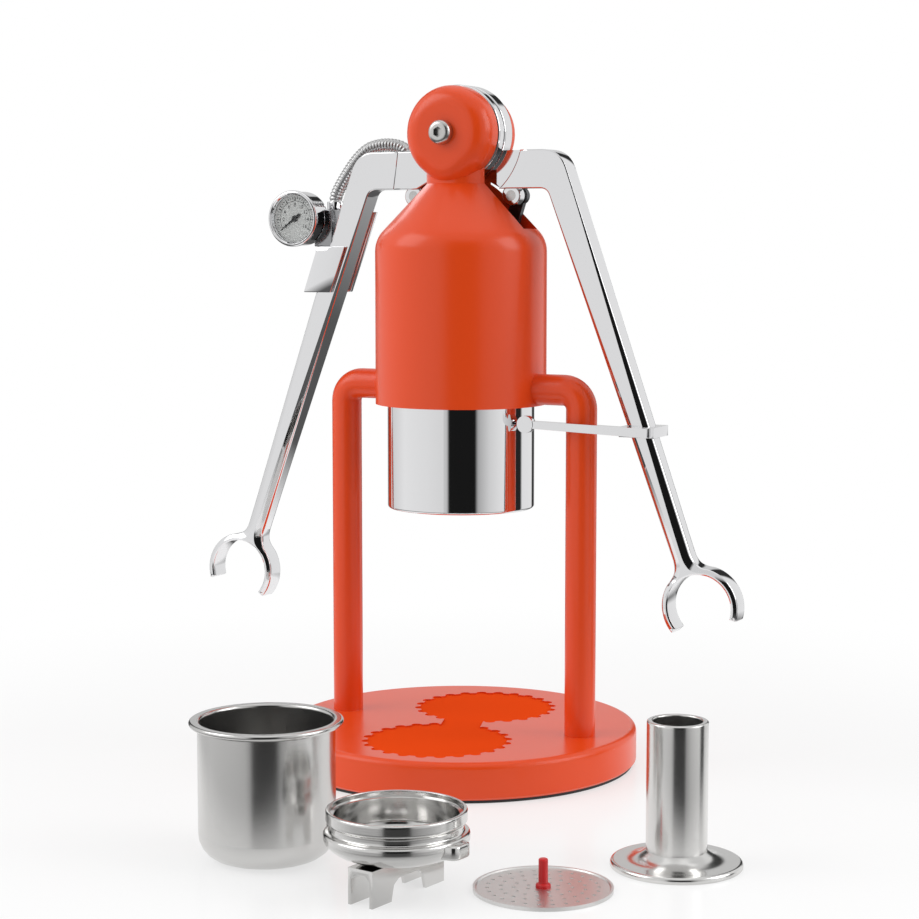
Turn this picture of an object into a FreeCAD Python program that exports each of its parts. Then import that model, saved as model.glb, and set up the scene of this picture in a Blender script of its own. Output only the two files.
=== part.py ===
import FreeCAD, Part
import math
import os
import Sketcher

os.makedirs("parts", exist_ok=True)
doc = FreeCAD.newDocument("espresso_press")
sheet = doc.addObject("Spreadsheet::Sheet", "Sizes")
nodes = []
row = [0]


# Named lengths

class Length:
    def __init__(self, value, text):
        self.value = float(value)
        self.text = text

    def __add__(self, other):
        other = length(other)
        return Length(self.value + other.value, "(" + self.text + " + " + other.text + ")")

    def __sub__(self, other):
        other = length(other)
        return Length(self.value - other.value, "(" + self.text + " - " + other.text + ")")

    def __mul__(self, factor):
        factor = length(factor)
        return Length(self.value * factor.value, "(" + self.text + " * " + factor.text + ")")

    def __neg__(self):
        return Length(-self.value, "(0 - " + self.text + ")")

    __radd__ = __add__
    __rmul__ = __mul__


def length(item):
    if isinstance(item, Length):
        return item
    return Length(item, "(" + repr(float(item)) + ")")


def size(name, value):
    row[0] += 1
    sheet.set("A%d" % row[0], name)
    sheet.set("B%d" % row[0], repr(float(value)))
    sheet.setAlias("B%d" % row[0], name)
    return Length(value, "Sizes." + name)


def bind(item, path, amount):
    item.setExpression(path, length(amount).text)


# Sketch and feature helpers

def plane_of(body, role):
    for item in body.Origin.OriginFeatures:
        if item.Role == role:
            return item
    raise RuntimeError("no plane " + role)


def new_body(name):
    body = doc.addObject("PartDesign::Body", name)
    body.Label = name
    nodes.append(body)
    return body


def new_sketch(body, name, role, offset):
    sketch = body.newObject("Sketcher::SketchObject", name)
    sketch.AttachmentSupport = [(plane_of(body, role), "")]
    sketch.MapMode = "FlatFace"
    bind(sketch, "AttachmentOffset.Base.z", offset)
    return sketch


def pin_point(sketch, index, place, x, y):
    for kind, amount in (("DistanceX", length(x)), ("DistanceY", length(y))):
        made = sketch.addConstraint(Sketcher.Constraint(kind, -1, 1, index, place, amount.value))
        sketch.setExpression("Constraints[%d]" % made, amount.text)


def add_polygon(sketch, points):
    first = sketch.GeometryCount
    count = len(points)
    flat = [FreeCAD.Vector(length(x).value, length(y).value, 0) for x, y in points]
    for i in range(count):
        sketch.addGeometry(Part.LineSegment(flat[i], flat[(i + 1) % count]), False)
    for i in range(count):
        after = first + (i + 1) % count
        sketch.addConstraint(Sketcher.Constraint("Coincident", first + i, 2, after, 1))
    for i in range(count):
        pin_point(sketch, first + i, 1, points[i][0], points[i][1])


def add_circle(sketch, x, y, radius):
    centre = FreeCAD.Vector(length(x).value, length(y).value, 0)
    radius = length(radius)
    index = sketch.addGeometry(Part.Circle(centre, FreeCAD.Vector(0, 0, 1), radius.value), False)
    pin_point(sketch, index, 3, x, y)
    made = sketch.addConstraint(Sketcher.Constraint("Radius", index, radius.value))
    sketch.setExpression("Constraints[%d]" % made, radius.text)


def fill(sketch, shapes):
    for shape in shapes:
        if len(shape) == 3 and not isinstance(shape[0], tuple):
            add_circle(sketch, *shape)
        else:
            add_polygon(sketch, shape)


def feature(body, kind, name, sketch, span):
    made = body.newObject("PartDesign::" + kind, name)
    made.Profile = sketch
    bind(made, "Length", span)
    sketch.Visibility = False
    body.Tip = made
    return made


def pad_up(body, name, shapes, low, high):
    sketch = new_sketch(body, name + "_outline", "XY_Plane", low)
    fill(sketch, shapes)
    return feature(body, "Pad", name, sketch, length(high) - low)


def cut_up(body, name, shapes, low, high):
    sketch = new_sketch(body, name + "_outline", "XY_Plane", high)
    fill(sketch, shapes)
    return feature(body, "Pocket", name, sketch, length(high) - low)


def pad_back(body, name, shapes, front, back):
    sketch = new_sketch(body, name + "_outline", "XZ_Plane", -length(back))
    fill(sketch, shapes)
    return feature(body, "Pad", name, sketch, length(back) - front)


def cut_back(body, name, shapes, front, back):
    sketch = new_sketch(body, name + "_outline", "XZ_Plane", -length(front))
    fill(sketch, shapes)
    return feature(body, "Pocket", name, sketch, length(back) - front)


def cut_across(body, name, shapes, left, right):
    sketch = new_sketch(body, name + "_outline", "YZ_Plane", right)
    fill(sketch, shapes)
    return feature(body, "Pocket", name, sketch, length(right) - left)


def turned(body, name, points, kind="Revolution"):
    sketch = new_sketch(body, name + "_outline", "XZ_Plane", 0)
    add_polygon(sketch, points)
    made = body.newObject("PartDesign::" + kind, name)
    made.Profile = sketch
    made.ReferenceAxis = (sketch, ["V_Axis"])
    made.Angle = 360.0
    sketch.Visibility = False
    body.Tip = made
    return made


def ring_of(body, name, feature_made, count):
    made = body.newObject("PartDesign::PolarPattern", name)
    made.Originals = [feature_made]
    made.Axis = (feature_made.Profile[0], ["N_Axis"])
    made.Angle = 360.0
    made.Occurrences = count
    body.Tip = made
    return made


def edges_where(body, test):
    doc.recompute()
    names = []
    for number, edge in enumerate(body.Tip.Shape.Edges, 1):
        if test(edge):
            names.append("Edge%d" % number)
    if not names:
        raise RuntimeError("no edges found on " + body.Name)
    return names


def soften(body, name, test, amount, kind="Fillet"):
    names = edges_where(body, test)
    before = body.Tip
    made = body.newObject("PartDesign::" + kind, name)
    made.Base = (before, names)
    bind(made, "Radius" if kind == "Fillet" else "Size", amount)
    body.Tip = made
    return made


def ring_edge(radius, height):
    def test(edge):
        curve = edge.Curve
        if not isinstance(curve, Part.Circle):
            return False
        same = abs(curve.Radius - length(radius).value) < 0.02
        return same and abs(curve.Center.z - length(height).value) < 0.02
    return test


def back_edge(x, z):
    def test(edge):
        box = edge.BoundBox
        near = abs(box.XMin - length(x).value) < 0.05 and abs(box.ZMin - length(z).value) < 0.05
        return near and box.YLength > 1.0 and box.XLength < 0.01 and box.ZLength < 0.01
    return test


def lies_upright(edge):
    return edge.BoundBox.YLength < 0.01


def place(body, x=0, y=0, z=0, turn=None, angle=0):
    axis = FreeCAD.Vector(*(turn or (0, 0, 1)))
    at = FreeCAD.Vector(length(x).value, length(y).value, length(z).value)
    body.Placement = FreeCAD.Placement(at, FreeCAD.Rotation(axis, angle))
    bind(body, "Placement.Base.x", x)
    bind(body, "Placement.Base.y", y)
    bind(body, "Placement.Base.z", z)


def face_front(body, x, y, z):
    place(body, x, y, z, (1, 0, 0), 90)


def rod(name, x, y, z, radius, high, front=False, back=False):
    made = doc.addObject("Part::Cylinder", name)
    bind(made, "Radius", radius)
    bind(made, "Height", high)
    if front:
        place(made, x, y, z, (1, 0, 0), 90)
    elif back:
        place(made, x, y, z, (1, 0, 0), -90)
    else:
        place(made, x, y, z)
    return made


def group(name, items):
    made = doc.addObject("Part::Compound", name)
    made.Label = name
    made.Links = items
    nodes.append(made)
    return made


# Stand

mat_high = size("mat_high", 1.5)
mat_radius = size("mat_radius", 80.5)
base_radius = size("base_radius", 82.0)
base_top = size("base_top", 18.0)
base_edge_round = size("base_edge_round", 3.0)
leg_x = size("leg_offset", 60.8)
leg_radius = size("leg_radius", 7.0)
tube_z = size("cross_tube_height", 175.2)
bend = size("leg_bend", 8.5)
screw_radius = size("leg_screw_radius", 3.0)
screw_head = size("leg_screw_head_radius", 5.5)
screw_head_high = size("leg_screw_head_high", 4.0)
screw_reach = size("leg_screw_reach", 14.0)
screw_gap = size("leg_screw_gap", 0.2)
cog_radius = size("cog_radius", 31.5)
cog_tooth = size("cog_tooth_radius", 2.6)
cog_deep = size("cog_depth", 0.8)
cog_neck = size("cog_neck_half", 10.0)
rear_cog_x = size("rear_cog_across", -3.5)
rear_cog_y = size("rear_cog_back", 33.0)
front_cog_x = size("front_cog_across", 7.5)
front_cog_y = size("front_cog_forward", -38.5)

mat = new_body("base_mat")
pad_up(mat, "mat_disc", [(0, 0, mat_radius)], 0, mat_high)

plate = new_body("base_plate")
turned(plate, "plate_disc", [
    (0, mat_high),
    (base_radius - 1.0, mat_high),
    (base_radius, mat_high + 1.0),
    (base_radius, base_top),
    (0, base_top),
])
soften(plate, "plate_edge", ring_edge(base_radius, base_top), base_edge_round)
for side, mark in ((-1.0, "left"), (1.0, "right")):
    hole = leg_x * side
    cut_up(plate, mark + "_screw_hole", [(hole, 0, screw_radius + screw_gap)], mat_high, base_top)
    cut_up(plate, mark + "_screw_seat", [(hole, 0, screw_head + screw_gap)], mat_high,
           mat_high + screw_head_high + screw_gap)
cut_up(plate, "cog_neck", [[
    (rear_cog_x - cog_neck, rear_cog_y - 20.0),
    (rear_cog_x + cog_neck, rear_cog_y - 20.0),
    (front_cog_x + cog_neck, front_cog_y + 20.0),
    (front_cog_x - cog_neck, front_cog_y + 20.0),
]], base_top - cog_deep, base_top)
for mark, across, deep in (("rear", rear_cog_x, rear_cog_y), ("front", front_cog_x, front_cog_y)):
    cut_up(plate, mark + "_cog", [(across, deep, cog_radius)], base_top - cog_deep, base_top)
    tooth_sketch = new_sketch(plate, mark + "_tooth_outline", "XY_Plane", base_top)
    bind(tooth_sketch, "AttachmentOffset.Base.x", across)
    bind(tooth_sketch, "AttachmentOffset.Base.y", deep)
    fill(tooth_sketch, [(cog_radius, 0, cog_tooth)])
    tooth = feature(plate, "Pocket", mark + "_tooth", tooth_sketch, cog_deep)
    ring_of(plate, mark + "_teeth", tooth, 24)

screws = []
for side, mark in ((-1.0, "left"), (1.0, "right")):
    head = rod(mark + "_leg_screw_head", leg_x * side, 0, mat_high, screw_head, screw_head_high)
    shank = rod(mark + "_leg_screw_shank", leg_x * side, 0, mat_high, screw_radius,
                base_top - mat_high + screw_reach)
    joined = doc.addObject("Part::Fuse", mark + "_leg_screw")
    joined.Base = head
    joined.Tool = shank
    screws.append(joined)
group("leg_screws", screws)

# Frame casting

head_z = size("head_height", 290.5)
plate_radius = size("head_plate_radius", 21.4)
body_radius = size("body_radius", 39.4)
body_low = size("body_low", 167.5)
shoulder_z = size("shoulder_height", 242.7)
shoulder_round = size("shoulder_round", 14.0)
neck_radius = size("neck_radius", 15.7)
neck_low = size("neck_low", 267.9)
neck_high = size("neck_high", 277.0)
front_face = size("head_front", -18.5)
slot_front = size("slot_front", -5.5)
slot_back = size("slot_back", 13.0)
rear_face = size("head_rear", 17.5)
rear_radius = size("rear_plate_radius", 19.4)
slot_floor = size("slot_floor", 247.5)
head_round = size("head_front_round", 8.5)
rear_round = size("head_rear_round", 1.5)
skirt_radius = size("skirt_radius", 33.95)
skirt_gap = size("skirt_gap", 0.2)
hollow_radius = size("hollow_radius", 33.0)
hollow_high = size("hollow_high", 243.5)
hollow_neck = size("hollow_neck_radius", 11.0)
hollow_neck_z = size("hollow_neck_height", 266.5)
skirt_low = size("skirt_low", 119.5)
skirt_high = size("skirt_high", 192.0)
skirt_bore = size("skirt_bore", 31.5)
guide_thick = size("guide_thick", 5.0)
axle_radius = size("axle_radius", 4.0)
axle_gap = size("axle_gap", 0.05)
tube_root = size("tube_root", 20.0)

frame = new_body("frame_casting")
turned(frame, "cylinder_and_shoulder", [
    (0, body_low),
    (body_radius, body_low),
    (body_radius, shoulder_z),
    (neck_radius, neck_low),
    (neck_radius, neck_high),
    (0, neck_high),
])
soften(frame, "shoulder_edge", ring_edge(body_radius, shoulder_z), shoulder_round)
pad_back(frame, "front_plate", [(0, head_z, plate_radius)], front_face, 0)
pad_back(frame, "rear_plate", [(0, head_z, rear_radius)], 0, rear_face)


def head_rim(radius, depth):
    def test(edge):
        curve = edge.Curve
        if not isinstance(curve, Part.Circle):
            return False
        same = abs(curve.Radius - radius.value) < 0.02
        return same and abs(curve.Center.y - depth.value) < 0.02
    return test


soften(frame, "front_rim", head_rim(plate_radius, front_face), head_round)
soften(frame, "rear_rim", head_rim(rear_radius, rear_face), rear_round)

path = new_sketch(frame, "leg_path", "XZ_Plane", 0)
turn_low = tube_z - bend
turn_in = leg_x - bend
path.addGeometry(Part.LineSegment(
    FreeCAD.Vector(leg_x.value, base_top.value, 0), FreeCAD.Vector(leg_x.value, turn_low.value, 0)), False)
corner = Part.Circle(FreeCAD.Vector(turn_in.value, turn_low.value, 0), FreeCAD.Vector(0, 0, 1), bend.value)
path.addGeometry(Part.ArcOfCircle(corner, 0, math.pi / 2), False)
path.addGeometry(Part.LineSegment(
    FreeCAD.Vector(turn_in.value, tube_z.value, 0), FreeCAD.Vector(tube_root.value, tube_z.value, 0)), False)
path.addConstraint(Sketcher.Constraint("Coincident", 0, 2, 1, 1))
path.addConstraint(Sketcher.Constraint("Coincident", 1, 2, 2, 1))
pin_point(path, 0, 1, leg_x, base_top)
pin_point(path, 0, 2, leg_x, turn_low)
pin_point(path, 2, 1, turn_in, tube_z)
pin_point(path, 2, 2, tube_root, tube_z)
corner_mark = path.addConstraint(Sketcher.Constraint("Radius", 1, bend.value))
path.setExpression("Constraints[%d]" % corner_mark, bend.text)
section = new_sketch(frame, "leg_section", "XY_Plane", base_top)
fill(section, [(leg_x, 0, leg_radius)])
right_leg = frame.newObject("PartDesign::AdditivePipe", "right_leg")
right_leg.Profile = section
right_leg.Spine = (path, [])
frame.Tip = right_leg
left_leg = frame.newObject("PartDesign::Mirrored", "left_leg")
left_leg.Originals = [right_leg]
left_leg.MirrorPlane = (plane_of(frame, "YZ_Plane"), [""])
frame.Tip = left_leg

turned(frame, "hollow", [
    (0, body_low),
    (skirt_radius + skirt_gap, body_low),
    (skirt_radius + skirt_gap, skirt_high + guide_thick),
    (hollow_radius, skirt_high + guide_thick),
    (hollow_radius, hollow_high),
    (hollow_neck, hollow_neck_z),
    (0, hollow_neck_z),
], "Groove")
cut_back(frame, "arm_slot", [[
    (-body_radius - 2.0, slot_floor),
    (body_radius + 2.0, slot_floor),
    (body_radius + 2.0, head_z + plate_radius + 2.0),
    (-body_radius - 2.0, head_z + plate_radius + 2.0),
]], slot_front, slot_back)
cut_back(frame, "axle_bore", [(0, head_z, axle_radius + axle_gap)], front_face - 1.0, rear_face + 1.0)
for side, mark in ((-1.0, "left"), (1.0, "right")):
    cut_up(frame, mark + "_leg_tapping", [(leg_x * side, 0, screw_radius + screw_gap)],
           base_top, base_top + screw_reach + 1.0)

skirt_edge = size("skirt_edge_round", 0.8)
skirt = new_body("group_skirt")
turned(skirt, "skirt_wall", [
    (skirt_bore, skirt_low),
    (skirt_radius, skirt_low),
    (skirt_radius, skirt_high),
    (skirt_bore, skirt_high),
])
soften(skirt, "skirt_lip", ring_edge(skirt_radius, skirt_low), skirt_edge)

rod_radius = size("rod_radius", 5.0)
slide_gap = size("slide_gap", 0.04)
guide = new_body("rod_guide")
pad_up(guide, "guide_disc", [(0, 0, skirt_radius), (0, 0, rod_radius + slide_gap)],
       skirt_high, skirt_high + guide_thick)

bolt_radius = size("eye_bolt_radius", 5.5)
bolt_high = size("eye_bolt_high", 4.6)
bolt_round = size("eye_bolt_round", 1.6)
bolt_shank = size("eye_bolt_shank", 2.5)
bolt_reach = size("eye_bolt_reach", 10.0)
bolt_gap = size("eye_bolt_gap", 0.1)
hex_radius = size("hex_socket_radius", 2.4)
hex_deep = size("hex_socket_deep", 2.6)
axle_short = size("axle_short", 0.3)

axle = new_body("head_axle")
pad_back(axle, "axle_bar", [(0, head_z, axle_radius)], front_face + axle_short, rear_face - axle_short)
cut_back(axle, "front_tapping", [(0, head_z, bolt_shank + bolt_gap)],
         front_face + axle_short, front_face + bolt_reach + 1.0)
cut_back(axle, "rear_tapping", [(0, head_z, bolt_shank + bolt_gap)],
         rear_face - bolt_reach - 1.0, rear_face - axle_short)

bolts = []
for mark, face, forward in (("front", front_face, True), ("rear", rear_face, False)):
    head = rod(mark + "_eye_head", 0, face, head_z, bolt_radius, bolt_high, front=forward, back=not forward)
    shank = rod(mark + "_eye_shank", 0, face, head_z, bolt_shank, bolt_reach, front=not forward, back=forward)
    socket = doc.addObject("Part::Prism", mark + "_eye_socket")
    socket.Polygon = 6
    bind(socket, "Circumradius", hex_radius)
    bind(socket, "Height", hex_deep)
    if forward:
        place(socket, 0, face - bolt_high + hex_deep, head_z, (1, 0, 0), 90)
    else:
        place(socket, 0, face + bolt_high - hex_deep, head_z, (1, 0, 0), -90)
    joined = doc.addObject("Part::Fuse", mark + "_eye_blank")
    joined.Base = head
    joined.Tool = shank
    carved = doc.addObject("Part::Cut", mark + "_eye_carved")
    carved.Base = joined
    carved.Tool = socket
    doc.recompute()
    rounded = doc.addObject("Part::Fillet", mark + "_eye_bolt")
    rounded.Base = carved
    outer = []
    for number, edge in enumerate(carved.Shape.Edges, 1):
        curve = edge.Curve
        if isinstance(curve, Part.Circle) and abs(curve.Radius - bolt_radius.value) < 0.02:
            if abs(curve.Center.y) > abs(face.value) + 1.0:
                outer.append((number, bolt_round.value, bolt_round.value))
    rounded.Edges = outer
    bolts.append(rounded)
group("eye_bolts", bolts)

# Arms

arm_front = size("arm_front", -5.0)
arm_back = size("arm_back", 6.0)
left_hub_back = size("left_hub_back", 0.2)
right_hub_front = size("right_hub_front", 0.8)
right_hub_back = size("right_hub_back", 8.9)
hub_radius = size("hub_radius", 22.0)
step_radius = size("bar_step_radius", 33.0)
bar_top = size("bar_top", 282.8)
bar_low = size("bar_low", 265.5)
bar_root = size("bar_root", 9.0)
ruler_z = size("forearm_reference_height", 240.0)
outer_x = size("forearm_outer_across", 66.9)
inner_x = size("forearm_inner_across", 54.9)
outer_lean = size("forearm_outer_lean", 0.354)
inner_lean = size("forearm_inner_lean", 0.372)
elbow_round = size("elbow_round", 9.5)
elbow_inner = size("elbow_inner_round", 3.5)
hand_x = size("hand_across", 119.5)
hand_z = size("hand_height", 81.8)
hand_radius = size("hand_radius", 17.8)
hand_bore = size("hand_bore", 14.7)
hand_front = size("hand_front", -4.5)
hand_back = size("hand_back", 5.5)
forearm_end = size("forearm_end", 98.0)
lug_x = size("lug_across", 25.0)
lug_z = size("lug_height", 262.5)
lug_radius = size("lug_radius", 4.6)
lug_front = size("lug_front", 0.5)
lug_pin = size("lug_pin_radius", 2.4)
lug_pin_gap = size("lug_pin_gap", 0.05)
lug_pin_back = size("lug_pin_back", 9.1)
bush_radius = size("bush_radius", 5.5)
bush_gap = size("bush_gap", 0.02)
arm_edge = size("arm_edge", 1.2)


def outer_at(z):
    return outer_x + (ruler_z - z) * outer_lean


def inner_at(z):
    return inner_x + (ruler_z - z) * inner_lean


def build_arm(name, side, hub_front, hub_back):
    arm = new_body(name)

    def at(x, z):
        return (length(x) * side, z)

    outline = [
        at(bar_root, bar_top),
        at(outer_at(bar_top), bar_top),
        at(outer_at(forearm_end), forearm_end),
        at(inner_at(forearm_end), forearm_end),
        at(inner_at(bar_low), bar_low),
        at(lug_x - lug_radius, bar_low),
        at(bar_root, bar_low + 6.0),
    ]
    pad_back(arm, "bar_and_forearm", [outline], arm_front, arm_back)
    elbow = outer_at(bar_top) * side
    soften(arm, "elbow_outer", back_edge(elbow, bar_top), elbow_round)
    crook = inner_at(bar_low) * side
    soften(arm, "elbow_inner", back_edge(crook, bar_low), elbow_inner)
    soften(arm, "long_edges", lies_upright, arm_edge)
    pad_back(arm, "hand_disc", [(hand_x * side, hand_z, hand_radius)], hand_front, hand_back)
    cut_back(arm, "hand_gap", [(hand_x * side, hand_z, hand_bore)], arm_front - 1.0, arm_back + 1.0)
    tip_in_x = hand_x - hand_radius * 0.717 * 1.5
    tip_in_z = hand_z - hand_radius * 0.697 * 1.5
    tip_out_x = hand_x + hand_radius * 0.958 * 1.5
    tip_out_z = hand_z - hand_radius * 0.286 * 1.5
    cut_back(arm, "hand_mouth", [[
        at(hand_x, hand_z),
        at(tip_out_x, tip_out_z),
        at(tip_out_x, tip_in_z - 8.0),
        at(tip_in_x, tip_in_z - 8.0),
        at(tip_in_x, tip_in_z),
    ]], arm_front - 1.0, arm_back + 1.0)
    pad_back(arm, "lug", [(lug_x * side, lug_z, lug_radius)], lug_front, arm_back)
    if side < 0:
        cut_back(arm, "other_hub_room", [(0, head_z, step_radius)], hub_back, arm_back + 1.0)
    else:
        cut_back(arm, "other_hub_room", [(0, head_z, step_radius)], arm_front - 1.0, hub_front)
    pad_back(arm, "hub", [(0, head_z, hub_radius)], hub_front, hub_back)
    cut_back(arm, "hub_bore", [(0, head_z, bush_radius + bush_gap)], arm_front - 1.0, hub_back + 1.0)
    cut_back(arm, "lug_bore", [(lug_x * side, lug_z, lug_pin + lug_pin_gap)], lug_front, arm_back + 1.0)
    return arm


build_arm("left_arm", -1.0, arm_front, left_hub_back)
build_arm("right_arm", 1.0, right_hub_front, right_hub_back)

for name, front, back in (
        ("left_arm_bush", arm_front, left_hub_back),
        ("right_arm_bush", right_hub_front, right_hub_back)):
    bush = new_body(name)
    pad_back(bush, "bush_ring", [(0, head_z, bush_radius), (0, head_z, axle_radius + slide_gap)], front, back)

for name, side in (("left_lug_pin", -1.0), ("right_lug_pin", 1.0)):
    pin = new_body(name)
    pad_back(pin, "pin_bar", [(lug_x * side, lug_z, lug_pin)], lug_front, lug_pin_back)

# Gauge and its sleeve

sleeve_top = size("sleeve_top", 239.3)
sleeve_low = size("sleeve_low", 217.8)
sleeve_gap = size("sleeve_gap", 0.15)
sleeve_wall = size("sleeve_wall", 1.6)
sleeve_side = size("sleeve_side", 5.6)
sleeve_back = size("sleeve_back_wall", 2.4)
sleeve_short = size("sleeve_front_short", 2.6)
sleeve_over = size("sleeve_overhang", 1.0)
sleeve_past = size("sleeve_cut_past", 2.0)
tail_inset = size("sleeve_tail_inset", 0.4)
tail_top = size("sleeve_tail_top", 255.5)

sleeve = new_body("gauge_sleeve")
pad_back(sleeve, "sleeve_block", [[
    (-(outer_at(sleeve_top) + sleeve_side), sleeve_top),
    (-(outer_at(sleeve_low) + sleeve_side), sleeve_low),
    (-(inner_at(sleeve_low) - sleeve_over), sleeve_low),
    (-(inner_at(sleeve_top) - sleeve_over), sleeve_top),
]], arm_front - sleeve_gap - sleeve_wall, arm_back + sleeve_gap + sleeve_back)
cut_back(sleeve, "sleeve_channel", [[
    (-(outer_at(sleeve_top + sleeve_past) + sleeve_gap), sleeve_top + sleeve_past),
    (-(outer_at(sleeve_low - sleeve_past) + sleeve_gap), sleeve_low - sleeve_past),
    (-(inner_at(sleeve_low - sleeve_past) - sleeve_short - sleeve_short), sleeve_low - sleeve_past),
    (-(inner_at(sleeve_top + sleeve_past) - sleeve_short - sleeve_short), sleeve_top + sleeve_past),
]], arm_front - sleeve_gap, arm_back + sleeve_gap)
cut_back(sleeve, "sleeve_front_cut", [[
    (-(inner_at(sleeve_top + sleeve_past) + sleeve_short), sleeve_top + sleeve_past),
    (-(inner_at(sleeve_low - sleeve_past) + sleeve_short), sleeve_low - sleeve_past),
    (-(inner_at(sleeve_low - sleeve_past) - sleeve_short - sleeve_short), sleeve_low - sleeve_past),
    (-(inner_at(sleeve_top + sleeve_past) - sleeve_short - sleeve_short), sleeve_top + sleeve_past),
]], arm_front - sleeve_gap - sleeve_wall - 1.0, arm_front)
pad_back(sleeve, "sleeve_tail", [[
    (-(outer_at(tail_top) - tail_inset), tail_top),
    (-(outer_at(sleeve_top - sleeve_past) - tail_inset), sleeve_top - sleeve_past),
    (-(inner_at(sleeve_top - sleeve_past) - sleeve_over), sleeve_top - sleeve_past),
    (-(inner_at(tail_top) - sleeve_over), tail_top),
]], arm_back + sleeve_gap, arm_back + sleeve_gap + sleeve_back)

sleeve_screw_z = size("sleeve_screw_drop", 5.0)
sleeve_screw_radius = size("sleeve_screw_radius", 2.2)
sleeve_screw_high = size("sleeve_screw_high", 1.2)
sleeve_screws = []
for mark, height in (("upper", sleeve_top - sleeve_screw_z), ("lower", sleeve_low + sleeve_screw_z)):
    middle = (outer_at(height) + inner_at(height)) * 0.5
    sleeve_screws.append(rod(mark + "_sleeve_screw", -middle, arm_back + sleeve_gap + sleeve_back,
                             height, sleeve_screw_radius, sleeve_screw_high, back=True))
group("sleeve_screws", sleeve_screws)

gauge_x = size("gauge_across", -84.3)
gauge_z = size("gauge_height", 252.4)
gauge_front = size("gauge_front", -10.5)
gauge_back = size("gauge_back", 4.0)
gauge_radius = size("gauge_radius", 12.7)
gauge_wall = size("gauge_wall", 1.3)
bezel_radius = size("bezel_radius", 13.2)
bezel_bore = size("bezel_bore", 11.3)
bezel_deep = size("bezel_deep", 2.6)
dial_back = size("dial_back", -6.4)
dial_thick = size("dial_thick", 0.6)
lens_thick = size("lens_thick", 0.9)
lens_front = size("lens_front", -9.9)
part_gap = size("gauge_part_gap", 0.1)
gauge_round = size("gauge_round", 2.0)

case = new_body("gauge_case")
face_front(case, gauge_x, gauge_back, gauge_z)
case_high = gauge_back - gauge_front - bezel_deep
turned(case, "case_cup", [
    (0, 0),
    (gauge_radius, 0),
    (gauge_radius, case_high),
    (gauge_radius - gauge_wall, case_high),
    (gauge_radius - gauge_wall, gauge_back - dial_back),
    (0, gauge_back - dial_back),
])
soften(case, "case_edge", ring_edge(gauge_radius, 0), gauge_round)

bezel = new_body("gauge_bezel")
face_front(bezel, gauge_x, gauge_front + bezel_deep, gauge_z)
turned(bezel, "bezel_ring", [
    (bezel_bore + 0.4, 0),
    (bezel_radius, 0),
    (bezel_radius, bezel_deep - 1.0),
    (bezel_radius - 1.0, bezel_deep),
    (bezel_bore + 0.4, bezel_deep),
    (bezel_bore, bezel_deep - 0.6),
    (bezel_bore + 0.4, bezel_deep - 0.7),
])
dial = new_body("gauge_dial")
face_front(dial, gauge_x, dial_back, gauge_z)
turned(dial, "dial_disc", [
    (0.7, 0),
    (gauge_radius - gauge_wall - part_gap, 0),
    (gauge_radius - gauge_wall - part_gap, dial_thick),
    (0.7, dial_thick),
])
lens = new_body("gauge_lens")
face_front(lens, gauge_x, lens_front + lens_thick, gauge_z)
turned(lens, "lens_disc", [
    (0, 0),
    (bezel_bore - part_gap, 0),
    (bezel_bore - part_gap, lens_thick),
    (0, lens_thick),
])

needle_long = size("needle_long", 8.4)
needle_tail = size("needle_tail", 3.2)
needle_wide = size("needle_half_wide", 0.45)
needle_hub = size("needle_hub_radius", 1.5)
needle_back = size("needle_back", -7.4)
needle_thick = size("needle_thick", 0.5)
needle_angle = size("needle_angle", 35.0)
needle = new_body("gauge_needle")
face_front(needle, gauge_x, needle_back, gauge_z)
pad_up(needle, "needle_hub", [(0, 0, needle_hub)], 0, needle_thick)
reach_x = math.cos(math.radians(needle_angle.value))
reach_y = math.sin(math.radians(needle_angle.value))


def along(distance, aside):
    return (-distance * reach_x + aside * reach_y, -distance * reach_y - aside * reach_x)


pad_up(needle, "needle_blade", [[
    along(-needle_tail, needle_wide * 1.6),
    along(needle_long, needle_wide * 0.5),
    along(needle_long, needle_wide * -0.5),
    along(-needle_tail, needle_wide * -1.6),
]], 0, needle_thick)

block_gap = size("block_gap", 0.1)
block_left = size("block_left", -77.0)
block_high = size("block_high", 256.5)
block_front = size("block_front", -2.0)
block_back = size("block_back", 15.2)
block = new_body("gauge_block")
pad_up(block, "block_body", [[
    (block_left, block_front),
    (-(outer_at(sleeve_top) + block_gap), block_front),
    (-(outer_at(sleeve_top) + block_gap), block_back),
    (block_left, block_back),
]], sleeve_top, block_high)
cut_back(block, "gauge_seat", [(gauge_x, gauge_z, gauge_radius + part_gap)], block_front - 1.0, gauge_back)

# Ribbed hose and ferrules

hose_radius = size("hose_radius", 3.2)
hose_root = size("hose_root_radius", 2.7)
hose_bore = size("hose_bore", 2.0)
hose_pitch = size("hose_pitch", 2.4)
hose_y = size("hose_depth", 10.6)
hose_start_x = size("hose_start_across", -72.3)
hose_end_x = size("hose_end_across", -33.8)
hose_end_z = size("hose_end_height", 275.0)
rise_z = size("hose_rise_height", 264.5)
knee_x = size("hose_knee_across", -58.0)
knee_z = size("hose_knee_height", 284.0)
crown_x = size("hose_crown_across", -46.0)
crown_z = size("hose_crown_height", 287.4)
fall_z = size("hose_fall_height", 285.2)
ferrule_radius = size("ferrule_radius", 4.2)
ferrule_bore = size("ferrule_bore", 3.35)
ferrule_high = size("ferrule_high", 4.0)
inlet_half = size("inlet_half", 3.6)
inlet_low = size("inlet_low", 266.6)


def value(item):
    return float(sheet.get(item.text.split(".")[1]))


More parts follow.
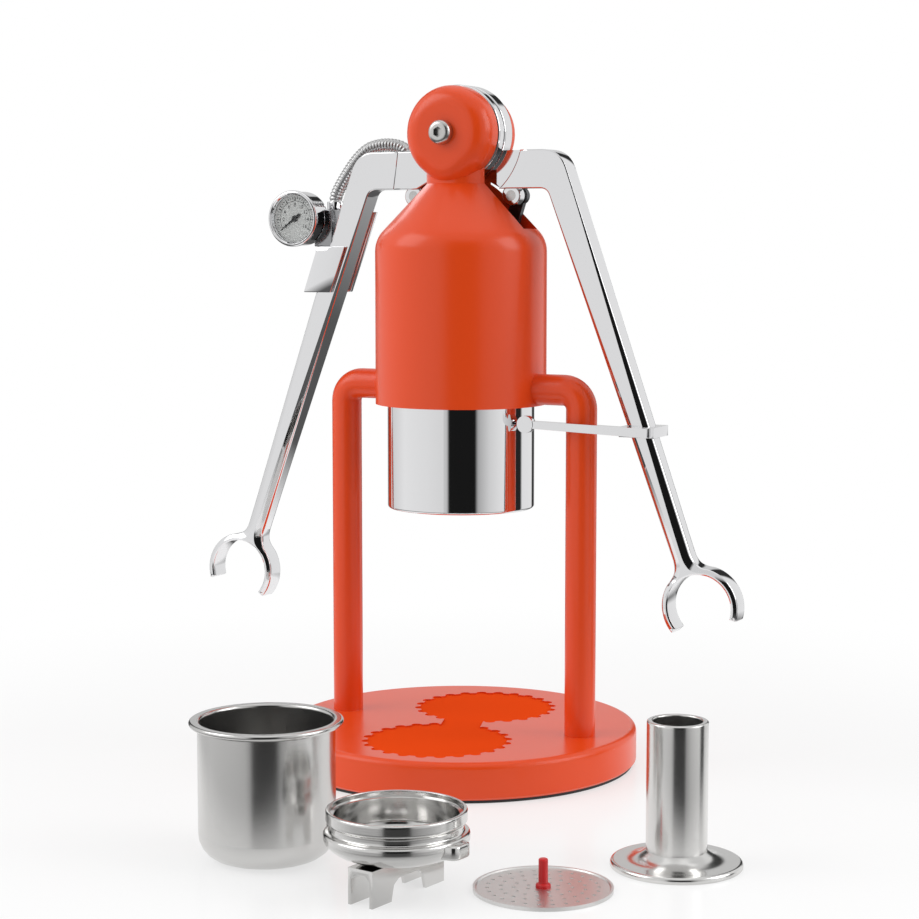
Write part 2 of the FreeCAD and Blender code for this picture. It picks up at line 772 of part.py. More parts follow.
doc.recompute()
corners = [(value(a), value(b)) for a, b in (
    (hose_start_x, block_high),
    (hose_start_x, rise_z),
    (knee_x, knee_z),
    (crown_x, crown_z),
    (hose_end_x, fall_z),
    (hose_end_x, hose_end_z),
)]
runs = []
for i in range(len(corners) - 1):
    dx = corners[i + 1][0] - corners[i][0]
    dz = corners[i + 1][1] - corners[i][1]
    runs.append((math.hypot(dx, dz), math.atan2(dz, dx)))
pieces = []
cursor = corners[0]
for i in range(1, len(corners) - 1):
    turn = runs[i][1] - runs[i - 1][1]
    turn = (turn + math.pi) % (2 * math.pi) - math.pi
    shorter = min(runs[i][0], runs[i - 1][0])
    radius = 0.45 * shorter / math.tan(abs(turn) / 2)
    cut = 0.45 * shorter
    before = runs[i - 1][1]
    start = (corners[i][0] - cut * math.cos(before), corners[i][1] - cut * math.sin(before))
    pieces.append(("line", cursor, math.hypot(start[0] - cursor[0], start[1] - cursor[1]), before, 0.0))
    pieces.append(("arc", start, radius * abs(turn), before, turn))
    after = runs[i][1]
    cursor = (corners[i][0] + cut * math.cos(after), corners[i][1] + cut * math.sin(after))
    print("hose bend radius %.1f" % radius)
last = math.hypot(corners[-1][0] - cursor[0], corners[-1][1] - cursor[1])
pieces.append(("line", cursor, last, runs[-1][1], 0.0))
hose_long = sum(piece[2] for piece in pieces)


def hose_point(distance):
    for kind, start, span, heading, turn in pieces:
        if distance <= span + 1e-9:
            break
        distance -= span
    if kind == "line":
        spot = (start[0] + distance * math.cos(heading), start[1] + distance * math.sin(heading))
        return spot, heading
    part = turn * distance / span
    radius = span / turn
    spot = (
        start[0] + radius * (math.sin(heading + part) - math.sin(heading)),
        start[1] - radius * (math.cos(heading + part) - math.cos(heading)),
    )
    return spot, heading + part


def hose_ring(distance, radius):
    spot, heading = hose_point(distance)
    tangent = FreeCAD.Vector(math.cos(heading), 0, math.sin(heading))
    steady = FreeCAD.Vector(0, 1, 0)
    third = tangent.cross(steady)
    matrix = FreeCAD.Matrix(
        steady.x, third.x, tangent.x, spot[0],
        steady.y, third.y, tangent.y, value(hose_y),
        steady.z, third.z, tangent.z, spot[1],
        0, 0, 0, 1)
    ring = Part.Wire([Part.Circle(FreeCAD.Vector(0, 0, 0), FreeCAD.Vector(0, 0, 1), radius).toShape()])
    ring.Placement = FreeCAD.Placement(matrix)
    return ring


ribs = int(round(hose_long / value(hose_pitch)))
step = hose_long / ribs
rings = []
for i in range(ribs):
    rings.append(hose_ring(i * step, value(hose_root)))
    rings.append(hose_ring((i + 0.25) * step, value(hose_radius)))
    rings.append(hose_ring((i + 0.65) * step, value(hose_radius)))
    rings.append(hose_ring((i + 0.9) * step, value(hose_root)))
rings.append(hose_ring(hose_long, value(hose_root)))
bores = [hose_ring(i * step / 2, value(hose_bore)) for i in range(2 * ribs + 1)]
tube = Part.makeLoft(rings, True, True).cut(Part.makeLoft(bores, True, True))
print("hose length %.1f, volume %.1f" % (hose_long, tube.Volume))
print("plain tube of root size %.1f" % (math.pi * (value(hose_root) ** 2 - value(hose_bore) ** 2) * hose_long))
print("plain tube of crest size %.1f" % (math.pi * (value(hose_radius) ** 2 - value(hose_bore) ** 2) * hose_long))
hose = doc.addObject("Part::Feature", "gauge_hose")
hose.Label = "gauge_hose"
hose.Shape = tube
nodes.append(hose)

ferrules = []
for mark, across, height in (
        ("lower", hose_start_x, block_high),
        ("upper", hose_end_x, hose_end_z)):
    outer = rod(mark + "_ferrule_outer", across, hose_y, height, ferrule_radius, ferrule_high)
    inner = rod(mark + "_ferrule_inner", across, hose_y, height, ferrule_bore, ferrule_high)
    ring = doc.addObject("Part::Cut", mark + "_ferrule")
    ring.Base = outer
    ring.Tool = inner
    ferrules.append(ring)
group("hose_ferrules", ferrules)

inlet = new_body("hose_inlet")
pad_up(inlet, "inlet_block", [[
    (hose_end_x - inlet_half, arm_back),
    (hose_end_x + inlet_half, arm_back),
    (hose_end_x + inlet_half, hose_y + ferrule_radius),
    (hose_end_x - inlet_half, hose_y + ferrule_radius),
]], inlet_low, hose_end_z)

# Arm stay

stay_front = size("stay_front", -11.0)
stay_back = size("stay_back", -7.6)
stay_left = size("stay_left", 33.9)
stay_z = size("stay_height", 160.0)
stay_half = size("stay_half", 1.7)
stay_eye = size("stay_eye_radius", 3.9)
stay_loop_left = size("stay_loop_left", 82.4)
stay_loop_right = size("stay_loop_right", 98.8)
stay_loop_low = size("stay_loop_low", 156.0)
stay_loop_high = size("stay_loop_high", 160.6)
stay_loop_front = size("stay_loop_front", -8.2)
stay_loop_back = size("stay_loop_back", 9.2)
stay_gap = size("stay_gap", 0.15)
stay = new_body("arm_stay")
pad_back(stay, "stay_bar", [[
    (stay_left + stay_eye, stay_z - stay_half),
    (stay_loop_right - 2.0, stay_loop_low + 0.2),
    (stay_loop_right - 2.0, stay_loop_high - 0.2),
    (stay_left + stay_eye, stay_z + stay_half),
]], stay_front, stay_back)
pad_back(stay, "stay_eye", [(stay_left + stay_eye, stay_z, stay_eye)], stay_front - 0.3, stay_back)
pad_up(stay, "stay_loop", [[
    (stay_loop_left, stay_loop_front),
    (stay_loop_right, stay_loop_front),
    (stay_loop_right, stay_loop_back),
    (stay_loop_left, stay_loop_back),
]], stay_loop_low, stay_loop_high)
cut_back(stay, "stay_window", [[
    (inner_at(stay_loop_high + 2.0) - stay_gap, stay_loop_high + 2.0),
    (outer_at(stay_loop_high + 2.0) + stay_gap, stay_loop_high + 2.0),
    (outer_at(stay_loop_low - 2.0) + stay_gap, stay_loop_low - 2.0),
    (inner_at(stay_loop_low - 2.0) - stay_gap, stay_loop_low - 2.0),
]], arm_front - stay_gap, arm_back + stay_gap)

# Piston and links

piston_low = size("piston_low", 124.0)
piston_high = size("piston_high", 133.0)
piston_radius = size("piston_radius", 31.1)
seal_radius = size("seal_radius", 31.46)
seal_low = size("seal_low", 126.5)
seal_high = size("seal_high", 130.5)
seal_bore = size("seal_bore", 28.5)
spigot_radius = size("spigot_radius", 3.0)
spigot_low = size("spigot_low", 121.0)
spigot_gap = size("spigot_gap", 0.1)
nut_high = size("nut_high", 3.0)
nut_radius = size("nut_radius", 5.5)
link_long = size("link_long", 60.0)
yoke_pin_x = size("yoke_pin_across", 6.0)
yoke_pin_z = size("yoke_pin_height", 205.6)
yoke_low = size("yoke_low", 199.5)
yoke_high = size("yoke_high", 210.2)
yoke_half = size("yoke_half", 11.0)
yoke_front = size("yoke_front", -4.9)
yoke_pin = size("yoke_pin_radius", 2.0)
yoke_pin_front = size("yoke_pin_front", 2.5)
yoke_pin_back = size("yoke_pin_back", 12.7)
pin_gap = size("pin_gap", 0.04)
link_front = size("link_front", 9.4)
link_back = size("link_back", 12.4)
link_end = size("link_end_radius", 4.0)
link_half = size("link_half_wide", 3.1)
rod_top = size("rod_top", 199.5)

piston_rod = new_body("piston_rod")
turned(piston_rod, "rod_bar", [
    (0, spigot_low),
    (spigot_radius, spigot_low),
    (spigot_radius, piston_high),
    (rod_radius, piston_high),
    (rod_radius, rod_top),
    (0, rod_top),
])
piston = new_body("piston_head")
turned(piston, "piston_disc", [
    (spigot_radius + spigot_gap, piston_low),
    (piston_radius, piston_low),
    (piston_radius, seal_low),
    (seal_bore, seal_low),
    (seal_bore, seal_high),
    (piston_radius, seal_high),
    (piston_radius, piston_high),
    (spigot_radius + spigot_gap, piston_high),
])
seal = new_body("piston_seal")
turned(seal, "seal_ring", [
    (seal_bore, seal_low),
    (seal_radius, seal_low + 0.6),
    (seal_radius, seal_high - 0.6),
    (seal_bore, seal_high),
])
nut = doc.addObject("Part::Prism", "rod_nut_blank")
nut.Polygon = 6
bind(nut, "Circumradius", nut_radius)
bind(nut, "Height", nut_high)
place(nut, 0, 0, piston_low - nut_high)
nut_hole = rod("rod_nut_hole", 0, 0, piston_low - nut_high, spigot_radius + spigot_gap, nut_high)
rod_nut = doc.addObject("Part::Cut", "rod_nut")
rod_nut.Label = "rod_nut"
rod_nut.Base = nut
rod_nut.Tool = nut_hole
nodes.append(rod_nut)

yoke = new_body("piston_yoke")
pad_up(yoke, "yoke_block", [[
    (-yoke_half, yoke_front),
    (yoke_half, yoke_front),
    (yoke_half, link_front - 0.4),
    (-yoke_half, link_front - 0.4),
]], rod_top, yoke_high)
for side, mark in ((-1.0, "left"), (1.0, "right")):
    cut_back(yoke, mark + "_pin_hole", [(yoke_pin_x * side, yoke_pin_z, yoke_pin + pin_gap)],
             yoke_pin_front, link_front)
pins = []
for side, mark in ((-1.0, "left"), (1.0, "right")):
    pins.append(rod(mark + "_yoke_pin", yoke_pin_x * side, yoke_pin_front, yoke_pin_z, yoke_pin,
                    yoke_pin_back - yoke_pin_front, back=True))
group("yoke_pins", pins)

lean = math.degrees(math.asin((lug_x.value - yoke_pin_x.value) / link_long.value))
for side, mark in ((-1.0, "left"), (1.0, "right")):
    link = new_body(mark + "_link")
    place(link, yoke_pin_x * side, 0, yoke_pin_z, (0, 1, 0), side * lean)
    pad_back(link, "link_bar", [[
        (-link_half, 0),
        (link_half, 0),
        (link_half, link_long),
        (-link_half, link_long),
    ]], link_front, link_back)
    pad_back(link, "lower_eye", [(0, 0, link_end)], link_front, link_back)
    pad_back(link, "upper_eye", [(0, link_long, link_end)], link_front, link_back)
    cut_back(link, "lower_bore", [(0, 0, yoke_pin + pin_gap)], link_front - 1.0, link_back + 1.0)
    cut_back(link, "upper_bore", [(0, link_long, yoke_pin + pin_gap)], link_front - 1.0, link_back + 1.0)
    top_pin = new_body(mark + "_link_pin")
    place(top_pin, yoke_pin_x * side, 0, yoke_pin_z, (0, 1, 0), side * lean)
    pad_back(top_pin, "pin_bar", [(0, link_long, yoke_pin)], link_front, link_back + 0.3)

# Filter basket

basket_x = size("basket_across", 4.25)
basket_y = size("basket_forward", -176.7)
basket_radius = size("basket_radius", 27.2)
basket_wall = size("basket_wall", 0.9)
basket_high = size("basket_high", 55.6)
basket_rim = size("basket_rim_radius", 30.5)
basket_rim_thick = size("basket_rim_thick", 2.2)
basket_round = size("basket_round", 11.0)
basket_hole = size("basket_hole_radius", 0.7)
basket = new_body("filter_basket")
place(basket, basket_x, basket_y, 0)
turned(basket, "basket_shell", [
    (0, 0),
    (basket_radius, 0),
    (basket_radius, basket_high - basket_rim_thick),
    (basket_rim, basket_high - basket_rim_thick),
    (basket_rim, basket_high),
    (0, basket_high),
])
soften(basket, "basket_foot", ring_edge(basket_radius, 0), basket_round)
soften(basket, "basket_rim_top", ring_edge(basket_rim, basket_high), 0.9)
soften(basket, "basket_rim_under", ring_edge(basket_rim, basket_high - basket_rim_thick), 0.9)
turned(basket, "basket_room", [
    (0, basket_wall),
    (basket_radius - basket_wall - basket_round, basket_wall),
    (basket_radius - basket_wall - basket_round * 0.45, basket_wall + basket_round * 0.12),
    (basket_radius - basket_wall - basket_round * 0.12, basket_wall + basket_round * 0.45),
    (basket_radius - basket_wall, basket_wall + basket_round),
    (basket_radius - basket_wall, basket_high),
    (0, basket_high),
], "Groove")
for number, (reach, count) in enumerate(((4.5, 6), (9.0, 12), (13.5, 18))):
    hole = cut_up(basket, "basket_hole_%d" % number, [(reach, 0, basket_hole)], 0, basket_wall)
    around = basket.newObject("PartDesign::PolarPattern", "basket_holes_%d" % number)
    around.Originals = [hole]
    around.Axis = (hole.Profile[0], ["N_Axis"])
    around.Angle = 360.0
    around.Occurrences = count
    basket.Tip = around

# Portafilter

porta_x = size("portafilter_across", 72.4)
porta_y = size("portafilter_forward", -194.4)
porta_turn = size("portafilter_turn", -9.0)
porta_top = size("portafilter_top", 32.4)
porta_radius = size("portafilter_radius", 26.6)
porta_groove = size("portafilter_groove_radius", 25.2)
porta_band = size("portafilter_band_radius", 27.6)
porta_bore = size("portafilter_bore", 23.6)
porta_floor = size("portafilter_floor", 17.5)
porta_low = size("portafilter_low", 14.0)
seat_step = size("portafilter_seat_step", 1.5)
porta_hole = size("portafilter_hole", 3.0)
ear_reach = size("ear_reach", 31.2)
ear_half = size("ear_half_wide", 6.5)
ear_low = size("ear_low", 18.0)
ear_high = size("ear_high", 23.5)
spout_screw = size("spout_screw_radius", 2.5)
spout_screw_head = size("spout_screw_head", 4.6)
ring = new_body("portafilter_ring")
place(ring, porta_x, porta_y, 0, (0, 0, 1), porta_turn.value)
turned(ring, "ring_profile", [
    (spout_screw + 0.2, porta_low),
    (porta_hole + 6.0, porta_low),
    (20.5, porta_low + 0.8),
    (25.5, porta_low + 4.0),
    (porta_band, porta_low + 6.5),
    (porta_band, porta_low + 9.8),
    (porta_groove, porta_low + 10.6),
    (porta_groove, porta_low + 13.2),
    (porta_radius, porta_low + 14.0),
    (porta_radius, porta_top - 0.8),
    (porta_radius - 0.8, porta_top),
    (porta_bore + seat_step, porta_top),
    (porta_bore + seat_step, porta_top - 1.8),
    (porta_bore, porta_top - 2.4),
    (porta_bore, porta_floor + 4.0),
    (porta_bore - 4.0, porta_floor + 0.6),
    (porta_hole + 6.0, porta_floor),
    (spout_screw + 0.2, porta_floor),
])
for side, mark in ((-1.0, "left"), (1.0, "right")):
    pad_up(ring, mark + "_ear", [[
        (length(24.6) * side, -ear_half),
        (ear_reach * side, -ear_half * 0.75),
        (ear_reach * side, ear_half * 0.75),
        (length(24.6) * side, ear_half),
    ]], ear_low, ear_high)
for side, mark in ((-1.0, "left"), (1.0, "right")):
    cut_up(ring, mark + "_outlet", [(0, length(6.5) * side, porta_hole - 0.6)], porta_low - 1.0, porta_floor + 1.0)

spout_half = size("spout_half_wide", 5.7)
spout_long = size("spout_half_long", 22.0)
spout_wall = size("spout_wall", 1.4)
spout_inner = size("spout_inner_high", 11.8)
arch_half = size("spout_arch_half", 10.5)
arch_high = size("spout_arch_high", 8.0)
spout = new_body("double_spout")
place(spout, porta_x, porta_y, 0, (0, 0, 1), porta_turn.value)
pad_up(spout, "spout_block", [[
    (-spout_half, -spout_long),
    (spout_half, -spout_long),
    (spout_half, spout_long),
    (-spout_half, spout_long),
]], 0, porta_low)
cut_back(spout, "spout_channel", [[
    (-(spout_half - spout_wall), 0),
    (spout_half - spout_wall, 0),
    (spout_half - spout_wall, spout_inner - 2.0),
    (spout_half - spout_wall - 2.0, spout_inner),
    (-(spout_half - spout_wall - 2.0), spout_inner),
    (-(spout_half - spout_wall), spout_inner - 2.0),
]], -spout_long - 1.0, spout_long + 1.0)
cut_across(spout, "spout_arch", [[
    (-arch_half, 0),
    (arch_half, 0),
    (arch_half - 1.5, arch_high - 2.0),
    (arch_half - 4.5, arch_high),
    (-(arch_half - 4.5), arch_high),
    (-(arch_half - 1.5), arch_high - 2.0),
]], -spout_half - 1.0, spout_half + 1.0)
cut_up(spout, "spout_screw_hole", [(0, 0, spout_screw + 0.2)], spout_inner - 1.0, porta_low)
for side, mark in ((-1.0, "left"), (1.0, "right")):
    cut_up(spout, mark + "_inlet", [(0, length(6.5) * side, porta_hole - 0.6)], spout_inner - 1.0, porta_low)

screw = new_body("spout_screw")
place(screw, porta_x, porta_y, 0)
turned(screw, "screw_profile", [
    (0, spout_inner - 1.5),
    (spout_screw, spout_inner - 1.5),
    (spout_screw, porta_floor),
    (spout_screw_head - 0.6, porta_floor),
    (spout_screw_head, porta_floor + 0.8),
    (spout_screw_head - 1.2, porta_floor + 2.0),
    (0, porta_floor + 2.0),
])

# Dispersion screen

screen_x = size("screen_across", 120.0)
screen_y = size("screen_forward", -166.9)
screen_radius = size("screen_radius", 26.5)
screen_thick = size("screen_thick", 1.0)
screen_rim = size("screen_rim_high", 1.5)
screen_hole = size("screen_hole_radius", 0.75)
stem_radius = size("stem_radius", 1.8)
stem_high = size("stem_high", 12.2)
stem_collar = size("stem_collar_radius", 2.9)
screen = new_body("dispersion_screen")
place(screen, screen_x, screen_y, 0)
turned(screen, "screen_disc", [
    (0, 0),
    (screen_radius, 0),
    (screen_radius, screen_rim),
    (screen_radius - 0.9, screen_rim),
    (screen_radius - 1.4, screen_thick),
    (0, screen_thick),
])
for number, (reach, count) in enumerate(((6.0, 8), (11.0, 14), (16.0, 20), (21.0, 26))):
    hole = cut_up(screen, "screen_hole_%d" % number, [(reach, 0, screen_hole)], 0, screen_thick)
    around = screen.newObject("PartDesign::PolarPattern", "screen_holes_%d" % number)
    around.Originals = [hole]
    around.Axis = (hole.Profile[0], ["N_Axis"])
    around.Angle = 360.0
    around.Occurrences = count
    screen.Tip = around
stem = new_body("screen_stem")
place(stem, screen_x, screen_y, 0)
turned(stem, "stem_profile", [
    (0, screen_thick),
    (stem_collar, screen_thick),
    (stem_collar, screen_thick + 1.2),
    (stem_radius, screen_thick + 1.8),
    (stem_radius, stem_high - 0.6),
    (stem_radius - 0.6, stem_high),
    (0, stem_high),
])

# Tamper

tamper_x = size("tamper_across", 153.1)
tamper_y = size("tamper_forward", -114.9)
tamper_radius = size("tamper_radius", 26.0)
tamper_high = size("tamper_high", 57.8)
tamper_tube = size("tamper_tube_radius", 12.0)
tamper_bore = size("tamper_bore", 9.7)
tamper_foot = size("tamper_foot_high", 6.5)
tamper_base = new_body("tamper_base")
place(tamper_base, tamper_x, tamper_y, 0)
turned(tamper_base, "flange_profile", [
    (0, 0),
    (tamper_radius - 0.6, 0),
    (tamper_radius, 0.6),
    (tamper_radius, 1.8),
    (tamper_radius - 1.0, 2.5),
    (tamper_tube + 8.0, 2.9),
    (tamper_tube + 3.5, 3.8),
    (tamper_tube + 1.2, 5.2),
    (tamper_tube, tamper_foot),
    (0, tamper_foot),
])
tamper_handle = new_body("tamper_handle")
place(tamper_handle, tamper_x, tamper_y, 0)
turned(tamper_handle, "tube_profile", [
    (tamper_bore, tamper_foot),
    (tamper_tube, tamper_foot),
    (tamper_tube, tamper_high - 0.5),
    (tamper_tube - 0.5, tamper_high),
    (tamper_bore + 0.5, tamper_high),
    (tamper_bore, tamper_high - 0.5),
])

# Check and write

doc.recompute()
faults = []
for item in doc.Objects:
    if "Invalid" in item.State or "Error" in item.State:
        faults.append(item.Name)
for node in nodes:
    if node.Shape.isNull() or not node.Shape.isValid():
        faults.append("shape of " + node.Label)
if faults:
    raise RuntimeError("not sound: " + ", ".join(faults))
for node in nodes:
    box = node.Shape.BoundBox
    print("%-18s %3d solids %9.0f mm3  x %.1f %.1f  y %.1f %.1f  z %.1f %.1f" % (
        node.Label, len(node.Shape.Solids), node.Shape.Volume,
        box.XMin, box.XMax, box.YMin, box.YMax, box.ZMin, box.ZMax))
    node.Shape.exportStep("parts/" + node.Label + ".step")
print(len(nodes), "pieces")
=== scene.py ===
import math

import bmesh
import bpy
from mathutils import Matrix, Vector


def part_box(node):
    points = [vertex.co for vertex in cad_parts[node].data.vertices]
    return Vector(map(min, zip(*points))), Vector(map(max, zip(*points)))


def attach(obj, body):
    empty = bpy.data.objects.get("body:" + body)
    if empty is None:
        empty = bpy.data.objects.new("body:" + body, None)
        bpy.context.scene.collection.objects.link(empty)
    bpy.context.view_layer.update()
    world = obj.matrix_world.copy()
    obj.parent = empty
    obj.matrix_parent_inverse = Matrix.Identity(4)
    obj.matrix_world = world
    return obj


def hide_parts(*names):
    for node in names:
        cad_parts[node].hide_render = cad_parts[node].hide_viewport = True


bl_info = {
    "name": "Lever espresso press",
    "version": (1, 0, 0),
    "blender": (4, 5, 0),
    "location": "View3D > Sidebar > Press",
    "description": "Dresses the lever espresso press and its loose pieces",
    "category": "Object",
}

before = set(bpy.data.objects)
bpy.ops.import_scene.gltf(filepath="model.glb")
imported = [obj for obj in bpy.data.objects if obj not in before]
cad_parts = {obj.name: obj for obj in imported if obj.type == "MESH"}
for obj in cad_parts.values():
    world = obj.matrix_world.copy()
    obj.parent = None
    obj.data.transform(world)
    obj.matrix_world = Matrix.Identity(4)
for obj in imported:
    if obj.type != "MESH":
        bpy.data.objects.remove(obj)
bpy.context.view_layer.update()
MM = 0.001
FINISH = {}


# Places read from the frame

def middle(node):
    low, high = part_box(node)
    return (Vector(low) + Vector(high)) / 2


def round_of(node):
    """An upright round node's place on the plane, its radius and the ends of its box."""
    low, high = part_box(node)
    return ((low[0] + high[0]) / 2, (low[1] + high[1]) / 2, 0), (high[0] - low[0]) / 2, low, high


HEAD_Z = middle("left_arm_bush").z


# Settings a user would change

class PaintSettings(bpy.types.PropertyGroup):
    colour: bpy.props.FloatVectorProperty(
        name="Paint", description="Colour of the painted casting and base",
        default=(0.79, 0.068, 0.009), size=3, min=0.0, max=1.0, subtype="COLOR")
    gloss: bpy.props.FloatProperty(
        name="Paint roughness", description="Roughness under the clear coat",
        default=0.30, min=0.0, max=1.0, subtype="FACTOR")
    peel: bpy.props.FloatProperty(
        name="Orange peel", description="Depth of the ripple in the powder coat",
        default=0.05, min=0.0, max=1.0, subtype="FACTOR")


class MetalSettings(bpy.types.PropertyGroup):
    chrome: bpy.props.FloatVectorProperty(
        name="Chrome", description="Colour of the plated pieces",
        default=(0.82, 0.82, 0.83), size=3, min=0.0, max=1.0, subtype="COLOR")
    satin: bpy.props.FloatVectorProperty(
        name="Satin steel", description="Colour of the brushed pieces",
        default=(0.60, 0.595, 0.585), size=3, min=0.0, max=1.0, subtype="COLOR")
    # The dark steel colour is also painted shade: it darkens the links and their pins for the shadow behind
    # the arms' necks.
    dark: bpy.props.FloatVectorProperty(
        name="Dark steel", description="Colour of the blackened fittings",
        default=(0.11, 0.115, 0.12), size=3, min=0.0, max=1.0, subtype="COLOR")


class ArmSettings(bpy.types.PropertyGroup):
    edge: bpy.props.FloatProperty(
        name="Elbow edge round", description="Rounding of the arms' edges at the elbow",
        default=0.5 * MM, min=0.0, max=2 * MM, unit="LENGTH")
    wrist_edge: bpy.props.FloatProperty(
        name="Wrist edge round", description="Rounding of the arms' edges at the wrist",
        default=3.6 * MM, min=0.0, max=4 * MM, unit="LENGTH")


class HoseSettings(bpy.types.PropertyGroup):
    crest: bpy.props.FloatProperty(
        name="Crest radius", description="Radius over the hose's ribs",
        default=3.15 * MM, min=1 * MM, max=5 * MM, unit="LENGTH")
    root: bpy.props.FloatProperty(
        name="Root radius", description="Radius between the hose's ribs",
        default=2.7 * MM, min=1 * MM, max=5 * MM, unit="LENGTH")
    pitch: bpy.props.FloatProperty(
        name="Rib pitch", description="Distance from one rib to the next",
        default=1.6 * MM, min=1 * MM, max=6 * MM, unit="LENGTH")


class StageSettings(bpy.types.PropertyGroup):
    floor: bpy.props.FloatVectorProperty(
        name="Floor", description="Colour of the floor",
        default=(0.93, 0.93, 0.93), size=3, min=0.0, max=1.0, subtype="COLOR")
    azimuth: bpy.props.FloatProperty(
        name="Camera azimuth", description="Turn of the camera round the press",
        default=math.radians(27.07), subtype="ANGLE", unit="ROTATION")
    pitch: bpy.props.FloatProperty(
        name="Camera pitch", description="Downward tilt of the camera",
        default=math.radians(5.99), subtype="ANGLE", unit="ROTATION")
    distance: bpy.props.FloatProperty(
        name="Camera distance", description="Level distance from the press's axis",
        default=0.9909, min=0.1, unit="LENGTH")
    swing: bpy.props.FloatProperty(
        name="Camera swing", description="Turn of the camera away from the press's axis",
        default=math.radians(0.04), subtype="ANGLE", unit="ROTATION")
    height: bpy.props.FloatProperty(
        name="Camera height", description="Height of the camera over the floor",
        default=0.2453, min=0.0, unit="LENGTH")
    lens: bpy.props.FloatProperty(
        name="Lens", description="Focal length on a 36 mm sensor, in millimetres",
        default=84.3, min=10.0, subtype="DISTANCE_CAMERA")


# Node helpers

def feed(tree, node, feeds):
    """Links each input that is given a socket, and sets the others."""
    for key, value in feeds.items():
        if isinstance(value, bpy.types.NodeSocket):
            tree.links.new(value, node.inputs[key])
        else:
            node.inputs[key].default_value = value


def wired(tree, kind, feeds=None, **settings):
    """A new shader node with its settings and its inputs."""
    made = tree.nodes.new("ShaderNode" + kind)
    for key, value in settings.items():
        setattr(made, key, value)
    feed(tree, made, feeds or {})
    return made


def reckoned(tree, operation, *feeds):
    """The output of a Math node."""
    return wired(tree, "Math", dict(enumerate(feeds)), operation=operation).outputs[0]


def mapped(tree, value, feeds, **settings):
    """The output of a Map Range node."""
    return wired(tree, "MapRange", {"Value": value, **feeds}, **settings).outputs["Result"]


def distance_out(tree):
    """How far a point lies from the press's foot."""
    spots = wired(tree, "TexCoord").outputs["Object"]
    return wired(tree, "VectorMath", {0: spots}, operation="LENGTH").outputs["Value"]


def shader_group(name, takes, gives):
    """An empty node group with its inputs and outputs."""
    tree = bpy.data.node_groups.new(name, "ShaderNodeTree")
    for way, rows in (("INPUT", takes), ("OUTPUT", gives)):
        for label, kind, *start in rows:
            made = tree.interface.new_socket(name=label, in_out=way, socket_type="NodeSocket" + kind)
            if start:
                made.default_value = start[0]
    return tree, tree.nodes.new("NodeGroupInput").outputs, tree.nodes.new("NodeGroupOutput")


def handling_group():
    """Faint smears that shift roughness, and a slow drift of the colour."""
    tree, enter, leave = shader_group("handling_marks", (
        ("Vector", "Vector"), ("Colour", "Color", (0.5, 0.5, 0.5, 1.0)), ("Roughness", "Float", 0.3),
        ("Smear", "Float", 0.05), ("Drift", "Float", 0.05), ("Scale", "Float", 60.0),
    ), (("Colour", "Color"), ("Roughness", "Float")))
    smear = wired(tree, "TexNoise", {
        "Vector": enter["Vector"], "Scale": enter["Scale"], "Detail": 5.0, "Distortion": 0.8})
    centred = reckoned(tree, "SUBTRACT", smear.outputs["Fac"], 0.5)
    scaled = reckoned(tree, "MULTIPLY", centred, enter["Smear"])
    rough = reckoned(tree, "ADD", enter["Roughness"], scaled)
    slow = wired(tree, "TexNoise", {"Vector": enter["Vector"], "Scale": 9.0, "Detail": 2.0})
    swing = reckoned(tree, "MULTIPLY_ADD", slow.outputs["Fac"], enter["Drift"], 1.0)
    level = reckoned(tree, "MULTIPLY_ADD", enter["Drift"], -0.5, swing)
    tint = wired(tree, "VectorMath", {0: enter["Colour"], "Scale": level}, operation="SCALE")
    feed(tree, leave, {"Colour": tint.outputs[0], "Roughness": rough})
    return tree


def ripple_group():
    """A fine ripple of height, stretched along one axis for brushed metal."""
    tree, enter, leave = shader_group("surface_ripple", (
        ("Vector", "Vector"), ("Stretch", "Vector", (1.0, 1.0, 1.0)), ("Scale", "Float", 400.0),
    ), (("Height", "Float"),))
    stretch = wired(tree, "VectorMath", {0: enter["Vector"], 1: enter["Stretch"]}, operation="MULTIPLY")
    grain = wired(tree, "TexNoise", {
        "Vector": stretch.outputs[0], "Scale": enter["Scale"], "Detail": 3.0})
    feed(tree, leave, {"Height": grain.outputs["Fac"]})
    return tree


def blank_material(name):
    made = bpy.data.materials.new(name)
    made.use_nodes = True
    return made, made.node_tree, made.node_tree.nodes["Principled BSDF"]


RIPPLE_HIGH = 0.05 * MM


def finish_material(name, colour, metallic, roughness, smear, drift, scale, stretch=(1.0, 1.0, 1.0),
                    grain=400.0, bump=0.0, coat=0.0, coat_rough=0.05, centre=(0.0, 0.0, 0.0),
                    specular=0.5):
    """A finish with handling marks, and with a ripple where it has a bump."""
    made, tree, shader = blank_material(name)
    spots = wired(tree, "TexCoord").outputs["Object"]
    shifted = wired(tree, "Mapping", {"Vector": spots, "Location": [-c for c in centre]}).outputs[0]
    marks = wired(tree, "Group", {
        "Vector": shifted, "Colour": (*colour, 1.0), "Roughness": roughness, "Smear": smear,
        "Drift": drift, "Scale": scale}, node_tree=FINISH["handling"]).outputs
    feed(tree, shader, {
        "Base Color": marks["Colour"], "Roughness": marks["Roughness"], "Metallic": metallic,
        "Coat Weight": coat, "Coat Roughness": coat_rough, "Specular IOR Level": specular})
    if bump > 0:
        ripple = wired(tree, "Group", {
            "Vector": shifted, "Stretch": stretch, "Scale": grain}, node_tree=FINISH["ripple"])
        raised = wired(tree, "Bump", {
            "Strength": bump, "Distance": RIPPLE_HIGH, "Height": ripple.outputs["Height"]})
        feed(tree, shader, {"Normal": raised.outputs["Normal"]})
    return made


